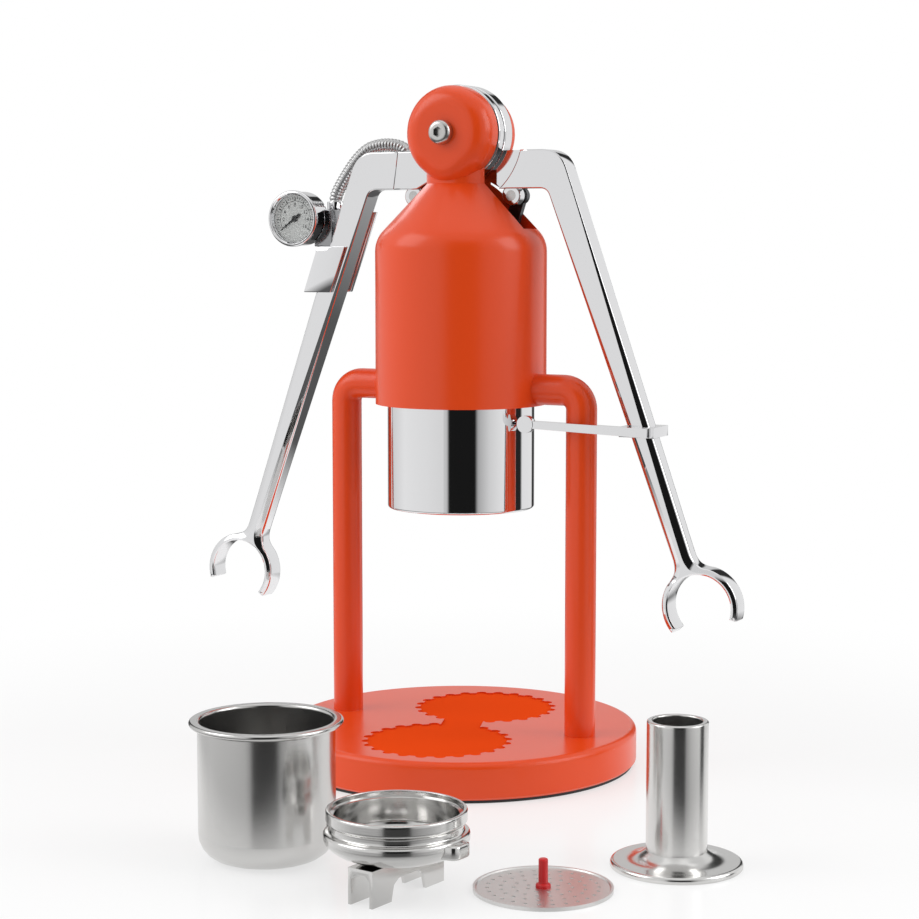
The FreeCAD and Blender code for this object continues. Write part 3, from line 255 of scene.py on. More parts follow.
def base_material(paint):
    """The paint again, matt where the base's top is recessed."""
    made = paint.copy()
    made.name = "base_paint"
    tree = made.node_tree
    spots = wired(tree, "TexCoord").outputs["Object"]
    height = wired(tree, "SeparateXYZ", {0: spots}).outputs["Z"]
    sunk = reckoned(tree, "LESS_THAN", height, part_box("base_plate")[1][2] - 0.3 * MM)
    central = reckoned(tree, "LESS_THAN", distance_out(tree), 75 * MM)
    both = reckoned(tree, "MULTIPLY", sunk, central)
    for gloss, full in (("Coat Weight", 0.30), ("Specular IOR Level", 0.25)):
        dulled = mapped(tree, both, {"To Min": full, "To Max": 0.0})
        feed(tree, tree.nodes["Principled BSDF"], {gloss: dulled})
    return made


def lens_material():
    made, tree, shader = blank_material("clear_lens")
    feed(tree, shader, {
        "Base Color": (0.97, 0.98, 0.98, 1.0), "Roughness": 0.03, "Transmission Weight": 1.0,
        "IOR": 1.12})
    return made


def build_finishes(context):
    """Each row: name, colour, metallic, roughness, smear, drift and scale, then what it has besides."""
    paint, metal = context.scene.press_paint, context.scene.press_metal
    FINISH["handling"] = handling_group()
    FINISH["ripple"] = ripple_group()
    rows = [
        ("orange_paint", paint.colour, 0.0, paint.gloss, 0.05, 0.05, 35.0, {
            "grain": 900.0, "bump": paint.peel, "coat": 0.36, "coat_rough": 0.20, "specular": 0.25}),
        ("chrome", metal.chrome, 1.0, 0.045, 0.03, 0.02, 45.0, {}),
        ("satin_steel", metal.satin, 1.0, 0.27, 0.08, 0.05, 60.0, {
            "stretch": (1.0, 1.0, 22.0), "grain": 260.0, "bump": 0.12}),
        ("gauge_steel", (0.34, 0.34, 0.35), 1.0, 0.12, 0.06, 0.10, 120.0, {}),
        ("hose_steel", (0.56, 0.56, 0.56), 1.0, 0.34, 0.08, 0.05, 120.0, {}),
        # Dark steel, which on the links and their pins is painted shade for the shadow behind the arms'
        # necks.
        ("dark_steel", metal.dark, 0.9, 0.34, 0.10, 0.10, 90.0, {"grain": 700.0, "bump": 0.1}),
        ("black_rubber", (0.018, 0.018, 0.018), 0.0, 0.62, 0.10, 0.10, 80.0, {
            "grain": 800.0, "bump": 0.25}),
        ("red_silicone", (0.60, 0.010, 0.012), 0.0, 0.34, 0.08, 0.06, 120.0, {
            "grain": 900.0, "bump": 0.08}),
        ("dial_face", (0.51, 0.51, 0.50), 0.0, 0.42, 0.06, 0.05, 150.0, {
            "grain": 1200.0, "bump": 0.08}),
        ("dial_print", (0.02, 0.02, 0.022), 0.0, 0.5, 0.05, 0.05, 150.0, {}),
        ("needle_dark", (0.012, 0.012, 0.013), 0.0, 0.32, 0.05, 0.05, 150.0, {}),
    ]
    for name, node, shade, rough, drift in (
            ("basket_steel", "filter_basket", 1.05, 0.19, 0.30),
            ("tamper_steel", "tamper_base", 1.2, 0.19, 0.12),
            ("screen_steel", "dispersion_screen", 1.30, 0.34, 0.08),
            ("portafilter_steel", "spout_screw", 1.15, 0.13, 0.10)):
        rows.append((name, [part * shade for part in metal.satin], 1.0, rough, 0.10, drift, 50.0, {
            "stretch": (1.0, 1.0, 26.0), "grain": 240.0, "bump": 0.10, "centre": middle(node)}))
    for name, *looks, besides in rows:
        FINISH[name] = finish_material(name, *looks, **besides)
    FINISH["base_paint"] = base_material(FINISH["orange_paint"])
    FINISH["clear_lens"] = lens_material()


# Mesh helpers

def placed(name, data):
    made = bpy.data.objects.new(name, data)
    bpy.context.scene.collection.objects.link(made)
    return made


def meshed(name, curve):
    """The mesh of a curve or of a text."""
    thing = placed(name, curve)
    bpy.context.view_layer.update()
    data = bpy.data.meshes.new_from_object(thing)
    bpy.data.objects.remove(thing)
    return data


def to_data(work, name):
    """Writes the working mesh out and frees it."""
    data = bpy.data.meshes.new(name)
    work.to_mesh(data)
    work.free()
    return data


def points_of(grown):
    """The new points of an extrusion."""
    return [item for item in grown["geom"] if isinstance(item, bmesh.types.BMVert)]


def shift(work, vec, verts=None):
    bmesh.ops.translate(work, vec=vec, verts=verts or work.verts)


def swivel(work, degrees, axis):
    matrix = Matrix.Rotation(math.radians(degrees), 3, axis)
    bmesh.ops.rotate(work, cent=(0, 0, 0), matrix=matrix, verts=work.verts)


def flat_regions(work):
    """Numbers the faces by the flat they lie in, and says which flats are broad."""
    region = {}
    broad = set()
    for first in work.faces:
        if first.index in region:
            continue
        mark = first.index
        region[mark] = mark
        waiting = [first]
        area, rim, count = 0.0, 0.0, 0
        while waiting:
            face = waiting.pop()
            area += face.calc_area()
            count += 1
            for edge in face.edges:
                for other in edge.link_faces:
                    if other is face:
                        continue
                    level = abs((other.verts[0].co - first.verts[0].co).dot(first.normal)) < 0.000003
                    if level and other.normal.dot(first.normal) > 0.99999:
                        if other.index not in region:
                            region[other.index] = mark
                            waiting.append(other)
                    else:
                        rim += edge.calc_length()
        if count > 2 and area > 30 * MM * MM and area > 1.5 * MM * rim:
            broad.add(mark)
    return region, broad


def mark_crisp(work, sharp):
    """Shades the mesh smooth but for its crisp edges and the rims of its broad flats."""
    work.faces.index_update()
    work.normal_update()
    region, broad = flat_regions(work)
    for face in work.faces:
        face.smooth = True
    for edge in work.edges:
        if len(edge.link_faces) != 2:
            edge.smooth = False
            continue
        one, other = (region[face.index] for face in edge.link_faces)
        bend = edge.calc_face_angle(0.0)
        rim = one != other and (one in broad or other in broad) and bend > math.radians(0.3)
        edge.smooth = not (rim or bend > sharp)


def keep(name, work, body, slot, finish=None, replaced=(), clean=True, sharp=32.0):
    """Turns the working mesh into a finished piece that rides on its body."""
    if clean:
        bmesh.ops.remove_doubles(work, verts=work.verts, dist=0.000004)
        bmesh.ops.recalc_face_normals(work, faces=work.faces)
    mark_crisp(work, math.radians(sharp))
    data = to_data(work, name)
    piece = placed(name, data)
    data.materials.append(FINISH[finish or slot])
    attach(piece, body)
    if replaced:
        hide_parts(*replaced)
    return piece


def part_way(a, b, part):
    return tuple(a[k] + (b[k] - a[k]) * part for k in (0, 1))


def guarded(corners, rounds, closed):
    """Adds points just past each rounded corner, so that long straights shade true."""
    cuts = dict(rounds)
    size = len(corners)
    chain, places = [], {}
    for i, corner in enumerate(corners):
        places[i] = len(chain)
        chain.append(corner)
        if i == size - 1 and not closed:
            break
        after = corners[(i + 1) % size]
        whole = math.dist(corner, after)
        first = cuts[i] + 0.3 * MM if i in cuts else 0.0
        last = cuts[(i + 1) % size] + 0.3 * MM if (i + 1) % size in cuts else 0.0
        if first + last > whole * 0.9:
            continue
        for reach in ((first,) if first else ()) + ((whole - last,) if last else ()):
            chain.append(part_way(corner, after, reach / whole))
    return chain, [(places[i], cut) for i, cut in rounds]


def traced(work, corners, rounds=(), y=0.0, closed=True):
    """A chain of points in the X-Z plane, its corners rounded by a bevel."""
    corners, rounds = guarded(corners, rounds, closed)
    points = [work.verts.new((x, y, z)) for x, z in corners]
    count = len(points)
    for i in range(count if closed else count - 1):
        work.edges.new((points[i], points[(i + 1) % count]))
    for index, cut in rounds:
        bmesh.ops.bevel(work, geom=[points[index]], offset=cut, segments=6,
                        affect="VERTICES", profile=0.5, material=-1)
    return work


def slab(corners, rounds, front, back, edge, steps=3):
    """A plate of the traced outline, from front to back, with rounded rims."""
    work = bmesh.new()
    traced(work, corners, rounds, front)
    bmesh.ops.contextual_create(work, geom=work.edges[:])
    face = work.faces[0]
    grown = bmesh.ops.extrude_face_region(work, geom=[face])
    shift(work, (0.0, back - front, 0.0), points_of(grown))
    if edge > 0:
        rims = [item for item in work.edges
                if abs(item.verts[0].co.y - item.verts[1].co.y) < 1e-7]
        bmesh.ops.bevel(work, geom=rims, offset=edge, segments=steps, affect="EDGES",
                        profile=0.5, material=-1, clamp_overlap=True)
    bmesh.ops.recalc_face_normals(work, faces=work.faces)
    return work


def lathe(profile, rounds=(), steps=96, at=(0.0, 0.0, 0.0), lie=False, closed=True):
    """Spins a traced profile round the upright axis; lie turns it to face the front."""
    work = bmesh.new()
    traced(work, profile, rounds, 0.0, closed)
    bmesh.ops.spin(work, geom=work.verts[:] + work.edges[:], cent=(0, 0, 0), axis=(0, 0, 1),
                   dvec=(0, 0, 0), angle=math.tau, steps=steps, use_merge=True, use_duplicate=False)
    bmesh.ops.remove_doubles(work, verts=work.verts, dist=0.000003)
    bmesh.ops.recalc_face_normals(work, faces=work.faces)
    if lie:
        swivel(work, 90, "X")
    shift(work, at)
    return work


def disc(radius, tall, edges, steps, at, lie=True):
    """A turned disc; edges gives how far each of its two rims is rounded."""
    return lathe([(0, 0), (radius, 0), (radius, tall), (0, tall)],
                 [(i + 1, cut) for i, cut in enumerate(edges) if cut], steps, at=at, lie=lie)


def join(work, other):
    """Adds the other working mesh to the first."""
    data = to_data(other, "part")
    work.from_mesh(data)
    bpy.data.meshes.remove(data)
    return work


def from_node(node, edge=0.0, steps=2):
    """A merged copy of a CAD node, its crisp edges softened by a bevel."""
    work = bmesh.new()
    work.from_mesh(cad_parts[node].data)
    bmesh.ops.remove_doubles(work, verts=work.verts, dist=0.000002)
    if edge > 0:
        crisp = [item for item in work.edges
                 if len(item.link_faces) == 2 and item.calc_face_angle(0.0) > math.radians(40)]
        bmesh.ops.bevel(work, geom=crisp, offset=edge, segments=steps, affect="EDGES",
                        profile=0.5, material=-1, clamp_overlap=True)
    return work


def soften(name, node, body, slot, finish=None, edge=0.0, steps=2):
    """Keeps a CAD node's own form, softened, in the node's place."""
    keep(name, from_node(node, edge, steps), body, slot, finish, [node])


def dress(node, finish):
    """Gives a carried-over CAD node its finish."""
    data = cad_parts[node].data
    data.materials.clear()
    data.materials.append(FINISH[finish])


# Operators

class PRESS_OT_finishes(bpy.types.Operator):
    """Builds the node groups and the finishes"""
    bl_idname = "press.finishes"
    bl_label = "Finishes"

    def execute(self, context):
        build_finishes(context)
        return {"FINISHED"}


class PRESS_OT_stand(bpy.types.Operator):
    """Dresses the base, its mat, the painted casting and the polished skirt"""
    bl_idname = "press.stand"
    bl_label = "Stand"

    def execute(self, context):
        soften("painted_base", "base_plate", "stand", "orange_paint", "base_paint")
        soften("painted_casting", "frame_casting", "stand", "orange_paint")
        low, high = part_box("base_mat")
        keep("non_slip_mat", disc(high[0], high[2] - low[2], [0.4 * MM, 0], 128, (0, 0, low[2]), False),
             "stand", "black_rubber", replaced=["base_mat"])
        low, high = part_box("group_skirt")
        outer = high[0]
        inner = outer - 2.45 * MM
        keep("polished_skirt", lathe([
            (inner, low[2]), (outer, low[2]), (outer, high[2]), (inner, high[2]),
        ], [(1, 1.2 * MM), (0, 0.5 * MM)], 160), "stand", "chrome", replaced=["group_skirt"])
        return {"FINISHED"}


# The head's front and back faces, which the eye bolts seat on

HEAD_FACES = (-18.5 * MM, 17.5 * MM)


class PRESS_OT_eye_bolts(bpy.types.Operator):
    """Turns the two rounded eye bolts with their hexagon sockets"""
    bl_idname = "press.eye_bolts"
    bl_label = "Eye bolts"

    def execute(self, context):
        low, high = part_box("eye_bolts")
        radius = (high[0] - low[0]) / 2
        work = bmesh.new()
        hex_radius, hex_deep = 2.4 * MM, 2.4 * MM
        for end, seat in zip((low[1], high[1]), HEAD_FACES):
            tall = abs(end - seat)
            one = lathe([
                (hex_radius * 1.12, tall), (radius, tall), (radius, 0), (0, 0),
            ], [(1, 2.2 * MM), (0, 0.3 * MM)], 64, closed=False)
            cup = bmesh.new()
            bmesh.ops.create_circle(cup, cap_ends=False, segments=6, radius=hex_radius)
            grown = bmesh.ops.extrude_edge_only(cup, edges=cup.edges[:])
            deep = points_of(grown)
            shift(cup, (0, 0, -hex_deep), deep)
            bmesh.ops.contextual_create(cup, geom=deep)
            shift(cup, (0, 0, tall))
            join(one, cup)
            brim = [item for item in one.edges if len(item.link_faces) == 1
                    and abs(item.verts[0].co.z - tall) < 1e-6 and abs(item.verts[1].co.z - tall) < 1e-6]
            bmesh.ops.bridge_loops(one, edges=brim)
            swivel(one, 90 if end < seat else -90, "X")
            shift(one, (0, seat, HEAD_Z))
            join(work, one)
        keep("eye_bolt_heads", work, "stand", "satin_steel", replaced=["eye_bolts"], sharp=38)
        return {"FINISHED"}


# The arms' outline, shared by both sides

ARM_FRONT, ARM_BACK = -4.97 * MM, 5.97 * MM
BAR_TOP, BAR_LOW = 282.8 * MM, 265.5 * MM
RULER_Z = 240.0 * MM
OUTER, INNER = (66.9 * MM, 0.354), (54.9 * MM, 0.372)
HAND = (119.5 * MM, 81.8 * MM)
HAND_RADIUS, HAND_BORE = 17.78 * MM, 14.7 * MM
HAND_MOUTH = (-16.6, 224.2)
HUB_RADIUS, STEP_RADIUS = 21.98 * MM, 33.0 * MM
LUG = (25.0 * MM, 262.5 * MM)


def on_line(line, z):
    return (line[0] + (RULER_Z - z) * line[1], z)


def meets_hand(line):
    """Where the leaning line enters the hand's outer circle, coming from above."""
    offset = line[0] + (RULER_Z - HAND[1]) * line[1] - HAND[0]
    a = 1 + line[1] ** 2
    b = -2 * offset * line[1]
    c = offset ** 2 - HAND_RADIUS ** 2
    return HAND[1] + (-b + math.sqrt(b * b - 4 * a * c)) / (2 * a)


def arc(cx, cz, radius, first, last, count):
    turns = [first + (last - first) * i / (count - 1) for i in range(count)]
    return [(cx + radius * math.cos(math.radians(a)), cz + radius * math.sin(math.radians(a))) for a in turns]


def run(a, b, step=4 * MM):
    """Points along a straight, without its last."""
    count = max(1, round(math.dist(a, b) / step))
    return [part_way(a, b, i / count) for i in range(count)]


def eased(points, corner, reach, count=10):
    """Swaps the corner of a closed chain for a curve that starts and ends at the given reach."""
    size = len(points)
    at = min(range(size), key=lambda i: math.dist(points[i], corner))

    def along(way):
        left, i = reach, at
        while True:
            after = (i + way) % size
            gap = math.dist(points[i], points[after])
            if gap >= left:
                return part_way(points[i], points[after], left / gap), after
            left -= gap
            i = after

    start, before = along(-1)
    finish, after = along(1)
    curve = [part_way(part_way(start, corner, t), part_way(corner, finish, t), t)
             for t in (i / count for i in range(count + 1))]
    kept = []
    i = after
    while i != before:
        kept.append(points[i])
        i = (i + 1) % size
    kept.append(points[before])
    return curve + [p for p in kept if min(math.dist(p, start), math.dist(p, finish)) > 0.05 * MM]


def arm_outline(necked):
    """The arm seen from the front, clockwise; necked runs on into the hub."""
    elbow, crook = on_line(OUTER, BAR_TOP), on_line(INNER, BAR_LOW)
    outer_end = on_line(OUTER, meets_hand(OUTER))
    inner_end = on_line(INNER, meets_hand(INNER))
    outer_turn = math.degrees(math.atan2(outer_end[1] - HAND[1], outer_end[0] - HAND[0]))
    inner_turn = math.degrees(math.atan2(inner_end[1] - HAND[1], inner_end[0] - HAND[0]))
    if necked:
        head = [(9 * MM, 271.5 * MM), (9 * MM, BAR_TOP)]
        tail = [(20.4 * MM, BAR_LOW)]
    else:
        high = math.degrees(math.asin((BAR_TOP - HEAD_Z) / STEP_RADIUS))
        low = math.degrees(math.asin((BAR_LOW - HEAD_Z) / STEP_RADIUS))
        head = arc(0, HEAD_Z, STEP_RADIUS, low, high, 14)
        tail = [head[0]]
        head = head[1:]
    points = head[:-1] + run(head[-1], elbow) + run(elbow, outer_end)
    first, last = HAND_MOUTH
    points += arc(*HAND, HAND_RADIUS, outer_turn, first, 24) + arc(*HAND, HAND_BORE, first, last, 61)
    points += arc(*HAND, HAND_RADIUS, last, inner_turn, 24)[:-1]
    points += run(inner_end, crook) + run(crook, tail[0]) + tail
    for corner, reach, count in (
            (elbow, 9.0 * MM, 20), (crook, 3.5 * MM, 10), (outer_end, 6.5 * MM, 10),
            (inner_end, 6.5 * MM, 10)):
        points = eased(points, corner, reach, count)
    for radius in (HAND_RADIUS, HAND_BORE):
        for turn in HAND_MOUTH:
            points = eased(points, arc(*HAND, radius, turn, turn, 2)[0], 0.7 * MM, 4)
    return points


def rim_rounds(points, elbow_rim, wrist_rim):
    """How far each point's rim is rounded: little at the elbow, more towards the wrist."""
    rims = []
    for x, z in points:
        across = math.dist((x, z), HAND)
        if across < HAND_BORE + 0.4 * MM:
            rims.append(0.7 * MM)
        elif across < HAND_RADIUS + 0.4 * MM:
            rims.append(1.8 * MM)
        elif z > 258 * MM:
            rims.append(elbow_rim)
        else:
            part = min(1.0, (258 * MM - z) / (140 * MM))
            rims.append(elbow_rim + (wrist_rim - elbow_rim) * part)
    for _ in range(3):
        rims = [(rims[i - 1] + 2 * rims[i] + rims[(i + 1) % len(rims)]) / 4 for i in range(len(rims))]
    return rims


def drawn_in(points, depths):
    """The clockwise chain moved inwards by each point's own depth."""
    made = []
    for i, (x, z) in enumerate(points):
        first = (Vector((x, z)) - Vector(points[i - 1])).normalized()
        second = (Vector(points[(i + 1) % len(points)]) - Vector((x, z))).normalized()
        way = (first + second).normalized()
        reach = depths[i] / max(0.6, first.dot(way))
        made.append((x + way.y * reach, z - way.x * reach))
    return made


def stacked(loops):
    """A solid through matching loops of points, closed at both ends."""
    work = bmesh.new()
    verts = [work.verts.new(point) for point in loops[0]]
    edges = [work.edges.new((verts[i], verts[(i + 1) % len(verts)])) for i in range(len(verts))]
    bmesh.ops.contextual_create(work, geom=edges)
    for loop in loops[1:]:
        grown = bmesh.ops.extrude_edge_only(work, edges=edges)["geom"]
        fresh = {tuple(item.co): item for item in grown if isinstance(item, bmesh.types.BMVert)}
        verts = [fresh[tuple(vert.co)] for vert in verts]
        moved = set(verts)
        edges = [item for item in grown if isinstance(item, bmesh.types.BMEdge)
                 and item.verts[0] in moved and item.verts[1] in moved]
        for vert, point in zip(verts, loop):
            vert.co = point
    bmesh.ops.contextual_create(work, geom=edges)
    caps = [face for face in work.faces if len(face.verts) > 4]
    bmesh.ops.triangulate(work, faces=caps, ngon_method="BEAUTY")
    bmesh.ops.recalc_face_normals(work, faces=work.faces)
    return work


def arm_layer(necked, face, seam, sizes):
    """Half of the arm's depth, its rim rounded at the face and flush at the seam."""
    points = arm_outline(necked)
    rims = rim_rounds(points, sizes.edge, sizes.wrist_edge)
    way = 1 if seam > face else -1
    loops = []
    for across, deep in ((1.0, 0.0), (0.22, 0.42), (0.10, 0.52), (0.03, 0.66), (0.0, 0.82)):
        flat = drawn_in(points, [rim * across for rim in rims])
        loops.append([(x, face + way * rim * deep, z) for (x, z), rim in zip(flat, rims)])
    loops.append([(x, seam, z) for x, z in points])
    return stacked(loops)


def score(work):
    """The fine seam across the front of the left arm, beside its hub."""
    foot, across = Vector((32.5 * MM, 0, 265.5 * MM)), Vector((0.991, 0, 0.136))
    for offset in (-0.22 * MM, 0.22 * MM, 0.0):
        cut = bmesh.ops.bisect_plane(
            work, geom=work.verts[:] + work.edges[:] + work.faces[:], plane_co=foot + across * offset,
            plane_no=across)["geom_cut"]
    for item in cut:
        if isinstance(item, bmesh.types.BMVert) and abs(item.co.y - ARM_FRONT) < 0.001 * MM:
            item.co.y += 0.25 * MM


def arm_mesh(side, hub_front, hub_back, sizes):
    if side < 0:
        work = arm_layer(True, ARM_FRONT, hub_back, sizes)
        score(work)
        join(work, arm_layer(False, ARM_BACK, hub_back, sizes))
    else:
        work = arm_layer(True, ARM_BACK, hub_front, sizes)
        join(work, arm_layer(False, ARM_FRONT, hub_front, sizes))
    join(work, disc(HUB_RADIUS, hub_back - hub_front, [0.9 * MM] * 2, 128, (0, hub_back, HEAD_Z)))
    join(work, disc(4.6 * MM, 5.4 * MM, [0.6 * MM] * 2, 64, (LUG[0], 5.93 * MM, LUG[1])))
    if side < 0:
        bmesh.ops.scale(work, vec=(-1, 1, 1), verts=work.verts)
        bmesh.ops.reverse_faces(work, faces=work.faces)
    return work


class PRESS_OT_arms(bpy.types.Operator):
    """Shapes the two polished lever arms with their hubs and open hands"""
    bl_idname = "press.arms"
    bl_label = "Arms"

    def execute(self, context):
        sizes = context.scene.press_arm
        for name, side, bush in (("left_arm", -1, "left_arm_bush"), ("right_arm", 1, "right_arm_bush")):
            low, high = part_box(bush)
            work = arm_mesh(side, low[1], high[1], sizes)
            keep("polished_" + name, work, name, "chrome", replaced=[name], clean=False, sharp=40)
        return {"FINISHED"}


class PRESS_OT_stay(bpy.types.Operator):
    """Shapes the slender stay that clips round the right arm"""
    bl_idname = "press.stay"
    bl_label = "Arm stay"

    def execute(self, context):
        soften("clip_stay", "arm_stay", "right_arm", "chrome", edge=0.7 * MM, steps=3)
        return {"FINISHED"}


# The dial's scale and the needle, in degrees

SCALE_START, SCALE_SWEEP = 215.0, 250.0
SCALE_END = SCALE_START - SCALE_SWEEP
NEEDLE_REST = 35.0


class PRESS_OT_gauge(bpy.types.Operator):
    """Builds the gauge's case, bezel, dial, marks, needle and sleeve"""
    bl_idname = "press.gauge"
    bl_label = "Gauge"

    def execute(self, context):
        low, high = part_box("gauge_case")
        x, z = (low[0] + high[0]) / 2, (low[2] + high[2]) / 2
        radius = (high[0] - low[0]) / 2
        bore, deep = radius - 1.3 * MM, high[1] - low[1]
        keep("gauge_cup", lathe([
            (0, 0), (radius, 0), (radius, deep), (bore, deep), (bore, deep * 0.9), (0, deep * 0.9),
        ], [(1, 3.0 * MM)], 96, at=(x, high[1], z), lie=True), "left_arm", "chrome", replaced=["gauge_case"])
        low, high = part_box("gauge_bezel")
        rim = (high[0] - low[0]) / 2
        tall = high[1] - low[1]
        keep("gauge_rim", lathe([
            (11.3 * MM, tall - 0.8 * MM), (11.5 * MM, 0), (rim, 0), (rim, tall), (12.0 * MM, tall),
        ], [(3, 1.1 * MM), (4, 0.5 * MM), (2, 0.3 * MM)], 96, at=(x, high[1], z), lie=True),
            "left_arm", "chrome", replaced=["gauge_bezel"])
        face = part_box("gauge_dial")[0][1]
        dress("gauge_dial", "dial_face")
        dress("gauge_lens", "clear_lens")
        marks = bmesh.new()
        for i in range(33):
            turn = SCALE_START - i * SCALE_SWEEP / 32
            long = 1.9 * MM if i % 4 == 0 else 1.0 * MM
            wide = 0.18 * MM if i % 4 == 0 else 0.10 * MM
            tick = bmesh.new()
            bmesh.ops.create_cube(tick, size=1.0)
            bmesh.ops.scale(tick, vec=(long, 0.06 * MM, wide * 2), verts=tick.verts)
            shift(tick, (10.1 * MM - long / 2, 0, 0))
            swivel(tick, -turn, "Y")
            join(marks, tick)
        band = slab(arc(0, 0, 8.35 * MM, SCALE_START, SCALE_END, 60)
                    + arc(0, 0, 8.2 * MM, SCALE_END, SCALE_START, 60), [], -0.03 * MM, 0.03 * MM, 0)
        join(marks, band)
        shift(marks, (x, face - 0.04 * MM, z))
        keep("gauge_marks", marks, "left_arm", "needle_dark", "dial_print", clean=False)
        for i, words in enumerate(("0", "2", "4", "6", "8", "10", "12", "14", "16")):
            turn = math.radians(SCALE_START - i * SCALE_SWEEP / 8)
            at = (x + 6.4 * MM * math.cos(turn), face - 0.03 * MM, z + 6.4 * MM * math.sin(turn))
            self.number("gauge_number_" + words, words, at)
        low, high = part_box("gauge_needle")
        work = slab([
            (-8.4 * MM, 0.12 * MM), (-8.4 * MM, -0.12 * MM), (3.4 * MM, -0.75 * MM), (3.4 * MM, 0.75 * MM),
        ], [], 0, 0.35 * MM, 0.05 * MM)
        join(work, disc(1.5 * MM, 0.5 * MM, [0, 0.2 * MM], 32, (0, 0.42 * MM, 0)))
        swivel(work, -NEEDLE_REST, "Y")
        shift(work, (x, (low[1] + high[1]) / 2 - 0.15 * MM, z))
        keep("gauge_pointer", work, "gauge_needle", "needle_dark", replaced=["gauge_needle"], clean=False)
        soften("arm_sleeve", "gauge_sleeve", "left_arm", "chrome", edge=0.45 * MM)
        soften("gauge_fitting", "gauge_block", "left_arm", "dark_steel", "gauge_steel", 0.6 * MM)
        return {"FINISHED"}

    def number(self, name, words, at):
        curve = bpy.data.curves.new(name + "_text", "FONT")
        curve.body = words
        curve.size = 2.4 * MM
        curve.align_x = "CENTER"
        curve.align_y = "CENTER"
        curve.extrude = 0.02 * MM
        data = meshed(name + "_text", curve)
        work = bmesh.new()
        work.from_mesh(data)
        bpy.data.meshes.remove(data)
        swivel(work, 90, "X")
        shift(work, at)
        keep(name, work, "left_arm", "needle_dark", "dial_print", clean=False)


class PRESS_OT_hose(bpy.types.Operator):
    """Makes the ribbed metal hose between the gauge and the head"""
    bl_idname = "press.hose"
    bl_label = "Gauge hose"

    def execute(self, context):
        sizes = context.scene.press_hose
        route = [(-72.3, 256.5), (-72.3, 259.5), (-72.3, 264.5), (-58.0, 284.0), (-46.0, 287.4),
                 (-33.8, 285.2), (-33.8, 278.0), (-33.8, 275.0)]
        depth = 10.6 * MM
        curve = bpy.data.curves.new("hose_route", "CURVE")
        curve.dimensions = "3D"
        spline = curve.splines.new("NURBS")
        spline.points.add(len(route) - 1)
        for point, (px, pz) in zip(spline.points, route):
            point.co = (px * MM, depth, pz * MM, 1.0)
        spline.order_u = 3
        spline.use_endpoint_u = True
        spline.resolution_u = 24
        data = meshed("hose_route", curve)
        points = [vert.co.copy() for vert in data.vertices]
        bpy.data.meshes.remove(data)
        spans = [0.0]
        for a, b in zip(points, points[1:]):
            spans.append(spans[-1] + (b - a).length)
        whole = spans[-1]
        ribs = round(whole / sizes.pitch)
        step = whole / ribs

        def spot(distance):
            distance = min(max(distance, 0.0), whole)
            for i in range(1, len(spans)):
                if distance <= spans[i] + 1e-9:
                    part = (distance - spans[i - 1]) / (spans[i] - spans[i - 1])
                    return points[i - 1].lerp(points[i], part), (points[i] - points[i - 1]).normalized()
            return points[-1], (points[-1] - points[-2]).normalized()

        work = bmesh.new()
        rings = []
        for i in range(ribs):
            for part, swell in ((0.0, 0.0), (0.16, 0.75), (0.38, 1.0), (0.60, 0.75), (0.78, 0.0)):
                rings.append(((i + part) * step, sizes.root + (sizes.crest - sizes.root) * swell))
        rings.append((whole, sizes.root))
        before = None
        for distance, radius in rings:
            at, along = spot(distance)
            made = bmesh.ops.create_circle(work, cap_ends=False, segments=28, radius=radius)
            steady = Vector((0, 1, 0))
            turn = Matrix((steady, along.cross(steady), along)).transposed()
            bmesh.ops.rotate(work, cent=(0, 0, 0), matrix=turn, verts=made["verts"])
            shift(work, at, made["verts"])
            edges = list({e for v in made["verts"] for e in v.link_edges})
            if before is None:
                bmesh.ops.contextual_create(work, geom=made["verts"])
            else:
                bmesh.ops.bridge_loops(work, edges=before + edges)
            before = edges
            final = made["verts"]
        bmesh.ops.contextual_create(work, geom=final)
        piece = keep("ribbed_hose", work, "left_arm", "satin_steel", "hose_steel",
                     replaced=["gauge_hose"], sharp=60)
        soften("hose_collars", "hose_ferrules", "left_arm", "chrome", edge=0.4 * MM)
        soften("hose_seat", "hose_inlet", "left_arm", "dark_steel", edge=0.5 * MM)
        return {"FINISHED"}


class PRESS_OT_basket(bpy.types.Operator):
    """Spins the deep filter basket with its rolled rim"""
    bl_idname = "press.basket"
    bl_label = "Filter basket"

    def execute(self, context):
        at, rim, low, high = round_of("filter_basket")
        top = high[2]
        wall, skin = 27.2 * MM, 0.9 * MM
        work = lathe([
            (0, 0), (wall, 0), (wall, top - 2.2 * MM), (rim, top - 2.2 * MM), (rim, top),
            (wall - skin, top), (wall - skin, skin), (0, skin),
        ], [(1, 10.5 * MM), (6, 9.8 * MM), (2, 0.8 * MM), (3, 1.05 * MM), (4, 1.05 * MM), (5, 1.3 * MM)],
            128, at=at, closed=False)
        keep("deep_basket", work, "basket", "satin_steel", "basket_steel", replaced=["filter_basket"])
        return {"FINISHED"}


